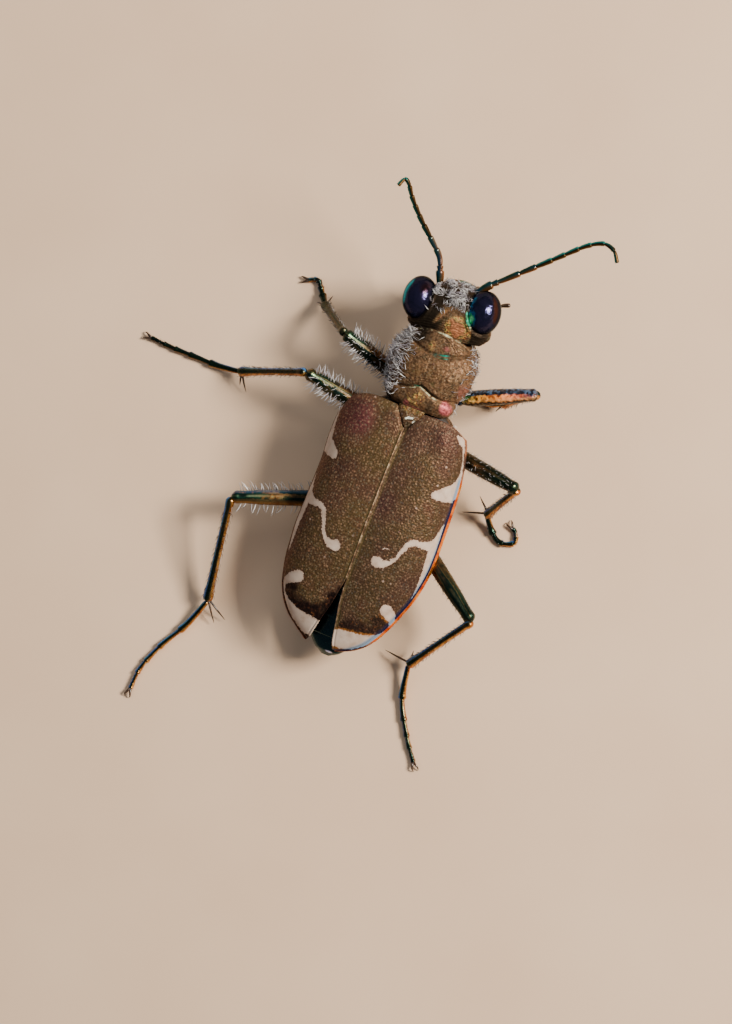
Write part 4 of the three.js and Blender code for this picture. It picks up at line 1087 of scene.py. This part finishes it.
def head():
    rings = np.array([head_section(t, 240) for t in np.linspace(0, 1, 190)])
    x, y, z = np.moveaxis(rings, -1, 0)
    normals = outward(rings)
    near_eye = np.minimum(eye_level(rings, 1), eye_level(rings, -1))
    brow = hump(near_eye, 1.13, 0.07) * smooth(-1.2, -0.7, z)
    between = smooth(0.62, 0.2, np.abs(x)) * hump(y, -1.0, 0.35) * smooth(-0.9, -0.5, z)
    striae = np.sin(near_eye * 75 + 2 * clouds(rings, 0.3))
    striae = striae * smooth(1.6, 1.2, near_eye) * smooth(1.02, 1.06, near_eye)
    wrinkle = np.sin(2 * np.pi * (y + 0.12 * clouds(rings, 0.3)) / 0.07) * smooth(-0.45, -0.15, y)
    height = 0.045 * brow - 0.07 * between + 0.009 * striae * smooth(-1.0, -0.6, z) + 0.006 * wrinkle
    height -= 0.04 * hump(y, -1.3 + 0.1 * x * x, 0.05) * hump(z, -0.85, 0.25)
    height += 0.012 * (clouds(rings, 0.14) - 0.5)
    rings = rings + normals * height[..., None]
    vertex = smooth(-0.75, -0.45, z)
    far = np.hypot((x + 0.36) / 0.25, (y + 0.16 + 0.25 * x) / 0.27)
    patch = smooth(1.2, 0.6, far + 0.9 * (clouds(rings, 0.16) - 0.5))
    far = np.hypot((x + 0.46) / 0.32, (y + 0.04 + 0.25 * x) / 0.32)
    rim = smooth(1.75, 1.2, far + 0.5 * (clouds(rings, 0.15) - 0.5))
    streak = hump(x - 0.75 * (y + 0.37), 0.2, 0.09) * smooth(-0.75, -0.55, y) * smooth(0.05, -0.2, y)
    olive = 0.9 * smooth(-0.42, -0.56, x) * smooth(-0.32, -0.14, y) * smooth(-0.76, -0.66, x)
    gold = vertex * np.maximum.reduce([rim * (1 - patch) * 0.8, 0.45 * streak, olive])
    copper = vertex * np.maximum(patch, 0.75 * hump(x - 0.75 * (y + 0.37), 0.12, 0.06) * streak)
    # Painted light: an orange rim along the right edge of the head, on the side facing the key light
    lit_rim = smooth(-1.19, -1.29, x) * smooth(-0.5, -0.3, y) * smooth(-1.5, -1.2, z)
    copper = np.maximum(copper, lit_rim)
    # Painted glint: green beside the right eye, also used for the painted highlight field
    glint = hump(near_eye, 1.08, 0.07) * smooth(-0.4, -0.52, x)
    glint = glint * smooth(-0.1, -0.28, y) * smooth(-0.74, -0.55, y)
    low_green = (1 - vertex) * 0.55 + 0.2 * smooth(0.7, 0.3, np.abs(x)) * smooth(-0.5, -0.9, y)
    green = np.clip(np.maximum(1.5 * glint, low_green), 0, 1)
    # The head's own dark tone, with painted shade added at its sides, low down, at the front and close round
    # the eyes
    shade = 0.85 * smooth(0.72, 0.95, np.abs(x)) + 0.5 * smooth(-0.7, -0.85, x)
    shade = shade + 0.6 * smooth(-1.2, -1.7, z) + 0.65 * smooth(0.0, 0.45, x)
    shade = np.maximum(shade, 0.55 * smooth(-0.62, -0.85, y)) + 0.4 * smooth(1.25, 1.1, near_eye) + 0.42
    dark = np.clip(shade - 1.5 * glint - gold - copper * (1 - lit_rim), 0, 1) * (1 - 0.28 * lit_rim)
    shape = skin(rings, gold=gold, copper=copper, green=green, dark=dark,
                 pale=1.1 * glint * smooth(0.5, 0.62, clouds(rings, 0.1)), ridge=0.5 + 0.35 * striae)
    return shape, rings, outward(rings)


def eye(side):
    t = np.linspace(0.0, np.pi, 90)
    angle = np.linspace(0, 2 * np.pi, 150, endpoint=False)
    across = np.sin(t)[:, None]
    rings = np.stack([np.cos(t)[:, None] * np.ones(150), across * np.cos(angle), across * np.sin(angle)], -1)
    x, y, z = np.moveaxis(rings, -1, 0)
    # Fields for the painted sky reflection on the outer rim, the painted brown reflection and the painted
    # green glint of the right eye
    rim = side * x - 0.3 * y + 0.25 * (clouds(rings, 0.3) - 0.5)
    outer = smooth(0.5, 0.75, rim) * hump(z, 0.55, 0.22)
    brown = 0.8 * hump(np.hypot((x + 0.3) / 0.4, (y + 0.5) / 0.35), 0, 1) * (z > 0)
    inner = 0.42 * smooth(0.2, 0.7, x) * smooth(-0.1, 0.3, z)
    bright = hump(np.hypot((x - 0.52) / 0.3, (y - 0.4) / 0.36), 0, 1)
    inner = np.maximum(inner, bright * (z > 0)) * (side < 0)
    points = rings * EYE_RADII + np.array(EYE_CENTRE) * (side, 1, 1)
    wine = np.where(side < 0, outer, brown)
    return skin(points, over=0.5 + 0.5 * z, teal=0.8 * outer * (side > 0), wine=wine, glaze=inner)


def labrum():
    """Upper lip: a curved plate with three blunt teeth, hung below the face."""
    half, count = 0.58, 60
    edge = profile((0, 0.54), (0.06, 0.5), (0.1, 0.41), (0.16, 0.42), (0.2, 0.51), (0.25, 0.44),
                   (0.32, 0.38), (0.5, 0.34), (0.58, 0.12))
    rings = []
    for x in np.linspace(-half, half, count):
        depth = edge(abs(x))
        t = np.linspace(0, 2 * np.pi, 24, endpoint=False)
        down = depth * (0.5 - 0.5 * np.cos(t))
        thick = 0.09 * np.sin(t) * (1 - 0.55 * (down / max(depth, 0.01)))
        bow = 0.22 * (1 - (x / half) ** 2)
        rings.append(np.stack([np.full(24, x), -1.0 - bow + thick + 0.12 * down, -1.78 - down], -1))
    rings = np.array(rings)
    dark = smooth(0.46, 0.56, np.abs(rings[..., 0])) + smooth(-2.24, -2.34, rings[..., 2])
    return skin(rings, dark=np.clip(dark, 0, 1))


def clypeus():
    """Narrow plate between the face and the upper lip."""
    path = [(-0.66, -1.08, -1.7), (-0.4, -1.28, -1.68), (0, -1.36, -1.66), (0.4, -1.28, -1.68),
            (0.66, -1.08, -1.7)]
    shape = limb(path, rounded((0, 0.1), (0.5, 0.13), (1, 0.1), start=0.12, end=0.12), 20, 40)
    levels = {"gold": 0, "copper": 0.35, "green": 0.4, "dark": 0.35, "pale": 0, "ridge": 0.5}
    return with_levels(shape, levels)


def mandible(side):
    path = mirrored([(0.6, -0.85, -1.9), (0.7, -1.02, -2.3), (0.6, -1.2, -2.7), (0.24, -1.34, -2.97)], side)
    taper = rounded((0, 0.2), (0.4, 0.17), (0.75, 0.11), (0.93, 0.06), (1, 0.03), start=0.05, end=0.03)
    blade = limb(path, taper, 20, 50, (0, 1, 0))
    teeth = []
    for root, tip, width in JAW_TEETH:
        path = mirrored(arched(root, tip, 0.03), side)
        taper = rounded((0, width), (0.6, width * 0.55), (1, 0.02), end=0.05)
        tooth = limb(path, taper, 14, 16, (0, 1, 0))
        tooth["fields"]["share"] = 0.45 + 0.5 * tooth["fields"]["share"]
        teeth.append(tooth)
    return joined([blade, *teeth])


def palp(side, path, joints, radius):
    """Mouth feeler made of short joints, each a little wider at its end."""
    path = mirrored(path, side)
    pieces, start = [], 0.0
    for number, end in enumerate(joints):
        points = trail(path, np.linspace(start, end, 5))
        swell = rounded((0, radius * 0.7), (0.7, radius), (1, radius * 0.92), start=0.1, end=0.14)
        segment = limb(points, swell, 14, 18, (0, 1, 0))
        segment["fields"]["share"] = np.full(len(segment["points"]), 0.62 + 0.38 * (number + 1) / len(joints))
        pieces.append(segment)
        start = end - 0.015
    return joined(pieces)


# Feelers and legs

def antenna(side):
    path = ANTENNA_PATHS[side]
    pieces, start = [], 0.0
    for number, (end, wide) in enumerate(zip(ANTENNA_ENDS, ANTENNA_WIDTHS)):
        points = trail(path, np.linspace(start, end, 9))
        waist = 0.62 if number > 1 else 0.8
        swell = rounded((0, wide * waist), (0.12, wide * 0.8), (0.5, wide * 0.92), (0.86, wide),
                        (1, wide * 0.85), start=0.05, end=0.08)
        segment = limb(points, swell, 16, 26)
        metal = 1.0 if number < 4 else 0.0
        segment["fields"]["metal"] = np.full(len(segment["points"]), metal)
        pieces.append(segment)
        start = end - 0.004
    return pieces


def arched(start, end, rise):
    """Path from start to end through a middle point that is a little higher."""
    middle = (np.array(start) + end) / 2 + (0, 0, rise)
    return [start, middle, end]


def femur(root, knee, gaudy, warm):
    path = arched(root, knee, 0.12)
    width = rounded((0, 0.13), (0.05, 0.19), (0.2, 0.245), (0.5, 0.24), (0.75, 0.22), (0.9, 0.19),
                    (0.95, 0.2), (1, 0.16), start=0.03, end=0.05)
    return limb(path, width, 48, 90, warm=warm, gaudy=gaudy, tint=0.4), (path, width)


def tibia(knee, ankle):
    path = arched(knee, ankle, 0.05)
    width = rounded((0, 0.12), (0.05, 0.14), (0.12, 0.12), (0.45, 0.115), (0.8, 0.13), (0.95, 0.16),
                    (1, 0.13), start=0.03, end=0.03)
    return limb(path, width, 28, 80, warm=0.0, gaudy=0.12, tint=1.0), (path, width)


def tarsus(ankle, toes):
    """Five toe joints, each flared at its end, and the path they follow."""
    path = [ankle, *toes]
    pieces, start = [], 0.0
    for end, wide in zip(TOE_ENDS, TOE_WIDTHS):
        points = trail(path, np.linspace(start, end, 7))
        swell = rounded((0, wide * 0.7), (0.2, wide * 0.75), (0.75, wide * 0.92), (0.94, wide * 1.08),
                        (1, wide), start=0.06, end=0.05)
        pieces.append(limb(points, swell, 20, 24, warm=0.0, gaudy=0.0, tint=1.0))
        start = end - 0.012
    return joined(pieces), path


def claw_pair(path):
    tip, before = np.array(path[-1]), np.array(path[-2])
    onward = unit((tip - before) * (1, 1, 0))
    aside = np.array((-onward[1], onward[0], 0))
    claws = []
    for turn in (1, -1):
        points = [tip - onward * 0.05, tip + onward * 0.1 + aside * turn * 0.05 + (0, 0, 0.05),
                  tip + onward * 0.2 + aside * turn * 0.09 + (0, 0, 0.02),
                  tip + onward * CLAW_REACH + aside * turn * 0.07]
        points[-1][2] = 0.02
        claws.append(limb(points, rounded((0, 0.045), (0.4, 0.036), (1, 0.008), end=0.03), 10, 22))
    return claws


def spur_pair(knee, ankle, tips):
    """Two movable spurs at the end of the shin, a little curved."""
    ankle, forward = np.array(ankle), unit(np.array(ankle) - knee)
    spurs = []
    for tip in tips:
        root = ankle - forward * 0.1 + unit(np.array(tip) - ankle) * 0.05
        width = rounded((0, 0.036), (0.5, 0.028), (1, 0.006), end=0.03)
        spurs.append(limb(arched(root, tip, 0.06), width, 10, 20))
    return spurs


# Hairs

def hairs(roots, out, lie, length, thick, rng, rise, spread, places, gray=0.0, bend=1.0):
    """Tapering three-sided hairs that leave along out and bend over to lie. None is darker than gray."""
    count, levels = len(roots), HAIR_RINGS
    noise = rng.normal(size=(count, 3)) * spread
    shares = np.linspace(0, 1, levels)
    length = length * rng.uniform(0.65, 1.1, count)
    steps = []
    for s in shares[1:]:
        steps.append(unit(out * rise * (1 - bend * s) + lie * (0.25 + 1.1 * bend * s) + noise * (0.4 + s)))
    centres = [roots - out * 0.015]
    for step in steps:
        centres.append(centres[-1] + step * (length / (levels - 1))[:, None])
    centres = np.stack(centres, 1)
    forward = np.stack([steps[0], *steps], 1)
    aside = unit(np.cross(forward, lie[:, None] + 0.3 * out[:, None] + noise[:, None] * 0.1))
    above = np.cross(aside, forward)
    radius = thick * (1 - shares ** 1.6 * 0.93)
    angle = np.arange(3) * 2 * np.pi / 3
    round_it = np.cos(angle)[:, None] * aside[:, :, None] + np.sin(angle)[:, None] * above[:, :, None]
    points = (centres[:, :, None] + radius[:, None, None] * round_it).reshape(-1, 3)
    per = levels * 3
    start = (np.arange(count) * per)[:, None, None, None]
    level = (np.arange(levels - 1) * 3)[None, :, None, None]
    k = np.arange(3)[None, None, :, None]
    j = (k + 1) % 3
    ring = start + level
    quads = np.concatenate([ring + k, ring + j, ring + 3 + j, ring + 3 + k], -1).reshape(-1, 4)
    base = (np.arange(count) * per)[:, None]
    caps = np.vstack([base + [0, 2, 1], base + per - 3 + np.array([0, 1, 2])])
    shade = np.repeat(gray + (1 - gray) * rng.random(count), per)
    share = np.tile(np.repeat(shares, 3), count)
    patch = np.stack([np.tile([0, 0.5, 1], levels), np.repeat(shares, 3)], -1) - 0.5
    uv = (places[:, None] * 0.99 + 0.005 + HAIR_PATCH * patch[None]).reshape(-1, 2)
    return form(points, quads, caps, {"shade": shade, "share": share}, uv)


def grow(coat, axes, rings, normals, weight, count, lie, length, thick, rng, tile, rise, spread):
    """Adds hairs over a skin, more where weight is high. Their unwrap is the skin's rows and columns."""
    m, n = weight.shape
    chosen = rng.choice(m * n, count, p=(weight / weight.sum()).ravel())
    i, j = chosen // n, chosen % n
    roots, out = rings[i, j], normals[i, j]
    lie = np.broadcast_to(lie, roots.shape) if np.ndim(lie) == 1 else lie[i, j]
    lie = unit(lie - (lie * out).sum(-1, keepdims=True) * out)
    places = np.stack([tile[0] + tile[2] * j / n, tile[1] + tile[3] * i / m], -1)
    coat.append(moved(hairs(roots, out, lie, length, thick, rng, rise, spread, places), axes))


def limb_hairs(path, width, rows, count, span, length, thick, rng, tile, rise=1.0, spread=0.2, *habit):
    """Hairs in rows along a limb, at the given angles round it."""
    steps = np.repeat(np.arange(count), len(rows)) + rng.uniform(0.15, 0.85, count * len(rows))
    shares = span[0] + (span[1] - span[0]) * steps / count
    angles = np.radians(np.tile(rows, count) + rng.normal(size=len(shares)) * 7)
    centres = trail(path, shares)
    forward = unit(trail(path, np.minimum(shares + 0.02, 1)) - trail(path, np.maximum(shares - 0.02, 0)))
    aside = unit(np.cross(forward, (0, 0, 1)))
    above = np.cross(aside, forward)
    out = np.cos(angles)[:, None] * aside + np.sin(angles)[:, None] * above
    roots = centres + out * width(shares)[:, None]
    places = np.stack([tile[0] + tile[2] * (angles / (2 * np.pi) % 1), tile[1] + tile[3] * shares], -1)
    return hairs(roots, out, forward, length, thick, rng, rise, spread, places, *habit)


# Putting the beetle together

def dress_body(paints, coat):
    rng = np.random.default_rng(3)
    for side, name in ((1, "left"), (-1, "right")):
        piece(f"wing_case_{name}", wing_case(side), BODY_AXES, paints["wing"], "elytra", f"elytron_{name}")
    piece("shield", scutellum(), BODY_AXES, paints["shield"], "bronze", "scutellum")

    shape, rings, normals = pronotum()
    piece("pronotum", shape, BODY_AXES, paints["pronotum"], "bronze", "prothorax")
    x, y, z = np.moveaxis(rings, -1, 0)
    left = smooth(0.4, 0.85, x) * smooth(-1.8, -1.0, z) * smooth(-2.75, -2.5, y) * smooth(-0.4, -0.75, y)
    lie = np.stack([0.35 + 0.5 * clouds(rings, 0.3), -0.6 + 1.1 * clouds(rings + 5.0, 0.3), 0.12 + 0 * x], -1)
    grow(coat, BODY_AXES, rings, normals, left, LEFT_NECK_HAIRS, lie, 0.27, 0.009, rng, NECK_TILE, 0.5, 0.35)
    right = smooth(0.85, 1.2, -x) * smooth(-1.8, -1.0, z) * smooth(-2.75, -2.5, y) * smooth(-0.4, -0.75, y)
    right = right * (0.35 + 0.65 * smooth(-1.9, -2.3, y))
    lie = np.stack([-0.6 + 0 * x, -0.5 + 0.8 * clouds(rings, 0.3), 0.1 + 0 * x], -1)
    grow(coat, BODY_AXES, rings, normals, right, RIGHT_NECK_HAIRS, lie, 0.24, 0.009, rng, NECK_TILE, 0.6, 0.3)

    shape, rings, normals = thorax()
    shapes = [shape]
    for leg in LEGS:
        if not leg.startswith("front"):
            bulge, _ = hip(leg)
            shapes.append(moved(bulge, BODY_AXES.inverted() @ FLOOR_AXES))
    piece("thorax", joined(shapes), BODY_AXES, paints["belly"], "belly", "pterothorax")
    x, y, z = np.moveaxis(rings, -1, 0)
    sides = smooth(0.8, 1.3, np.abs(x)) * smooth(-1.1, -1.3, z) * smooth(-0.4, 0.0, y)
    sides = sides + 0.08 * smooth(-1.7, -1.9, z)
    lie = (0, 1, -0.4)
    grow(coat, BODY_AXES, rings, normals, sides, THORAX_HAIRS, lie, 0.26, 0.011, rng, THORAX_TILE, 0.5, 0.3)

    shape, rings, normals = abdomen()
    piece("abdomen_plates", shape, BODY_AXES, paints["belly"], "belly", "abdomen")
    x, y, z = np.moveaxis(rings, -1, 0)
    sides = smooth(0.6, 1.1, np.abs(x)) * smooth(-1.3, -1.5, z) * smooth(6.6, 6.0, y)
    lie = (0, 1, 0)
    grow(coat, BODY_AXES, rings, normals, sides, BELLY_HAIRS, lie, 0.2, 0.01, rng, BELLY_TILE, 0.4, 0.25)


def dress_head(paints, coat):
    rng = np.random.default_rng(5)
    shape, rings, normals = head()
    piece("head_capsule", joined([shape, clypeus()]), HEAD_AXES, paints["head"], "bronze", "head")
    for side, name in ((1, "left"), (-1, "right")):
        piece(f"eye_ball_{name}", eye(side), HEAD_AXES, paints["eye"], "eye", f"eye_{name}")
        piece(f"jaw_{name}", mandible(side), HEAD_AXES, paints["jaw"], "jaw", f"mandible_{name}")
        palps = joined([palp(side, *measures) for measures in PALPS])
        piece(f"mouth_feelers_{name}", palps, HEAD_AXES, paints["spine"], "jaw", f"palp_{name}")
    piece("upper_lip", labrum(), HEAD_AXES, paints["ivory"], "ivory", "labrum")
    x, y, z = np.moveaxis(rings, -1, 0)
    front = smooth(0.66, 0.42, np.abs(x)) * smooth(-0.55, -0.8, y - 0.2 * np.abs(x)) * smooth(-1.5, -1.2, z)
    front = front * smooth(0.32, 0.5, clouds(rings, 0.17))
    swirl = 2.6 * np.pi * (clouds(rings + 3.0, 0.24) - 0.5)
    lie = np.stack([np.sin(swirl), -np.cos(swirl), 0.15 + 0 * x], -1)
    grow(coat, HEAD_AXES, rings, normals, front, FACE_HAIRS, lie, 0.22, 0.0095, rng, FACE_TILE, 0.9, 0.3)


def dress_antennae(paints):
    rng = np.random.default_rng(9)
    for side in ("left", "right"):
        pieces = antenna(side)
        root, middle, tip = pieces[:4], pieces[4:7], pieces[7:]
        for number, group in enumerate((root, middle, tip), 1):
            node = f"antenna_{side}_{number}"
            piece(f"feeler_{side}_{number}", joined(group), FLOOR_AXES, paints["feeler"], "antenna", node)
        path = ANTENNA_PATHS[side]
        down = limb_hairs(path, lambda s: 0.07 + 0 * s, (30, 150, 270), 50, (0.42, 1.0), 0.045, 0.0045, rng,
                          (0, 0, 1, 1), 0.6, 0.3)
        piece(f"feeler_down_{side}", down, FLOOR_AXES, paints["bristle"], "bristle")


def dress_legs(paints):
    coat, spines = [], []
    rng = np.random.default_rng(13)
    for number, (leg, (_, gaudy, knee, ankle, toes)) in enumerate(LEGS.items()):
        bulge, root = hip(leg)
        if leg.startswith("front"):
            piece(f"hip_{leg}", bulge, FLOOR_AXES, paints["belly"], "belly")
        thigh, thigh_line = femur(root, knee, gaudy, float(leg == SUNLIT_LEG))
        shin, shin_line = tibia(knee, ankle)
        foot, foot_path = tarsus(ankle, toes)
        piece(f"thigh_{leg}", thigh, FLOOR_AXES, paints["leg"], "leg", f"femur_{leg}")
        piece(f"shin_{leg}", shin, FLOOR_AXES, paints["leg"], "leg", f"tibia_{leg}")
        piece(f"foot_{leg}", fit_floor(foot, 0.0), FLOOR_AXES, paints["leg"], "leg", f"tarsus_{leg}")
        piece(f"claws_{leg}", joined(claw_pair(foot_path)), FLOOR_AXES, paints["spine"], "jaw")
        spurs = joined(spur_pair(knee, ankle, SPUR_TIPS[leg]))
        piece(f"spurs_{leg}", spurs, FLOOR_AXES, paints["spine"], "jaw")
        tile = (0.34 + 0.11 * number, 0.34, 0.1, 0.3)
        if leg == SUNLIT_LEG:
            fringe = limb_hairs(*thigh_line, (200, 225), 34, (0.12, 0.92), 0.12, 0.011, rng, tile, 1.2, 0.13)
        else:
            rows = (-6, 14, 176) if leg.startswith("hind") else (-6, 14, 50, 90, 130, 166, 186)
            left = leg.endswith("left")
            long, wide, rise, gray = (0.36, 0.015, 1.6, 0.35) if left else (0.15, 0.01, 0.6, 0.1)
            fringe = limb_hairs(*thigh_line, rows, 21, (0.12, 0.92), long, wide, rng, tile, rise, 0.32,
                                gray, 0.4)
        under = limb_hairs(*thigh_line, (235, 270, 305), 26, (0.1, 0.92), 0.2, 0.01, rng, tile)
        tile = (0.01 + 0.11 * number, 0.67, 0.1, 0.3)
        down = limb_hairs(*shin_line, (20, 160, 270), 30, (0.06, 0.95), 0.13, 0.0065, rng, tile, 0.8)
        coat.append(moved(joined([fringe, under, down]), FLOOR_AXES))
        spikes = limb_hairs(*shin_line, (-10, 50, 130, 190, 270), 13, (0.12, 0.97), 0.2, 0.012, rng, tile,
                            0.8, 0.1)
        toe_hairs = limb_hairs(foot_path, lambda s: 0.06 + 0 * s, (10, 170, 60, 120), 26, (0.1, 0.95), 0.11,
                               0.007, rng, tile, 0.7, 0.15)
        spines.append(moved(joined([spikes, toe_hairs]), FLOOR_AXES))
    piece("leg_hairs", fit_floor(joined(coat)), Matrix.Identity(4), paints["hair"], "bristle")
    piece("leg_bristles", fit_floor(joined(spines)), Matrix.Identity(4), paints["bristle"], "bristle")


def fit_floor(shape, low=0.012):
    """Keeps a form above the floor."""
    shape["points"][:, 2] = np.maximum(shape["points"][:, 2], low)
    return shape


def build():
    paints = {
        "wing": wing_paint(),
        "pronotum": bronze_paint("pronotum_shell", (0.6, 0.14, 0.15), 0.28),
        "head": bronze_paint("head_shell", (0.56, 0.22, 0.1)),
        "shield": bronze_paint("shield_shell", (0.4, 0.2, 0.1), 0.8, (0.85, 0.85, 0.7)),
        "belly": belly_paint(),
        "leg": leg_paint(),
        "eye": eye_paint(),
        "feeler": feeler_paint(),
        "jaw": jaw_paint(),
        "ivory": ivory_paint(),
        "spine": spine_paint(),
        "hair": hair_paint(),
        "bristle": spine_paint(),
    }
    coat = []
    dress_body(paints, coat)
    dress_head(paints, coat)
    dress_antennae(paints)
    dress_legs(paints)
    piece("white_hairs", fit_floor(joined(coat)), Matrix.Identity(4), paints["hair"], "bristle")


# Floor, light and camera

def floor():
    mesh = bpy.data.meshes.new("studio_floor")
    corners = [(FLOOR_HALF * x, FLOOR_HALF * y, 0) for x, y in ((-1, -1), (1, -1), (1, 1), (-1, 1))]
    mesh.from_pydata(corners, [], [(0, 1, 2, 3)])
    paint = Paint("studio_floor")
    color = paint.mottle(6, 3, (0.3, 0.58, 0.39, 0.25), (0.7, 0.62, 0.43, 0.28))
    mesh.materials.append(paint.finish(Base_Color=color, Roughness=0.75))
    obj = bpy.data.objects.new("studio_floor", mesh)
    bpy.context.scene.collection.objects.link(obj)


def view_axes():
    """Right, up and backward directions of the camera."""
    back = Vector((-math.sin(CAMERA_LEAN), 0, math.cos(CAMERA_LEAN)))
    across = Vector((-math.cos(CAMERA_LEAN), 0, -math.sin(CAMERA_LEAN)))
    ahead = Vector((0, -1, 0))
    right = math.cos(CAMERA_TURN) * across + math.sin(CAMERA_TURN) * ahead
    up = math.cos(CAMERA_TURN) * ahead - math.sin(CAMERA_TURN) * across
    return right, up, back


def camera():
    right, up, back = view_axes()
    data = bpy.data.cameras.new("camera")
    data.sensor_fit = "VERTICAL"
    data.sensor_height = 24
    data.lens = data.sensor_height * CAMERA_DISTANCE / FRAME_HEIGHT
    data.clip_start = 0.01
    data.clip_end = 10
    obj = bpy.data.objects.new("camera", data)
    place = FLOOR_AXES @ (Vector(FRAME_MIDDLE) + back * CAMERA_DISTANCE)
    obj.matrix_world = Matrix.Translation(place * MM) @ Matrix((right, up, back)).transposed().to_4x4()
    bpy.context.scene.collection.objects.link(obj)
    bpy.context.scene.camera = obj


def softbox(name, direction, distance, size, power, color, mirrored_in_gloss=True):
    data = bpy.data.lights.new(name, "AREA")
    data.shape = "SQUARE"
    data.size = size
    data.energy = power
    data.color = color
    obj = bpy.data.objects.new(name, data)
    direction = Vector(direction).normalized()
    obj.location = direction * distance + Vector((0, 0, 0.002))
    obj.rotation_euler = direction.to_track_quat("Z", "Y").to_euler()
    obj.visible_glossy = mirrored_in_gloss
    bpy.context.scene.collection.objects.link(obj)


def light():
    right, up, back = view_axes()
    level = math.cos(LIGHT_TURN) * right + math.sin(LIGHT_TURN) * up
    sun = math.cos(LIGHT_HEIGHT) * level + math.sin(LIGHT_HEIGHT) * back
    softbox("key", sun, 0.14, 0.04, 0.55, (1.0, 0.94, 0.85))
    softbox("fill", -0.8 * right + 0.3 * up + 0.9 * back, 0.16, 0.12, 0.06, (0.86, 0.92, 1.0), False)
    softbox("top", 0.1 * right + 0.9 * up + 0.8 * back, 0.16, 0.1, 0.07, (1.0, 1.0, 1.0), False)
    world = bpy.data.worlds.new("studio")
    world.use_nodes = True
    nodes, link = world.node_tree.nodes, world.node_tree.links.new
    split = nodes.new("ShaderNodeSeparateXYZ")
    link(nodes.new("ShaderNodeTexCoord").outputs["Generated"], split.inputs[0])
    ramp = nodes.new("ShaderNodeValToRGB")
    link(split.outputs["Z"], ramp.inputs[0])
    ramp.color_ramp.elements[0].color = (0.28, 0.26, 0.25, 1)
    ramp.color_ramp.elements[1].color = (0.13, 0.15, 0.19, 1)
    ramp.color_ramp.elements[1].position = 0.8
    link(ramp.outputs[0], nodes["Background"].inputs["Color"])
    nodes["Background"].inputs["Strength"].default_value = 0.7
    bpy.context.scene.world = world


camera()
light()
floor()
build()
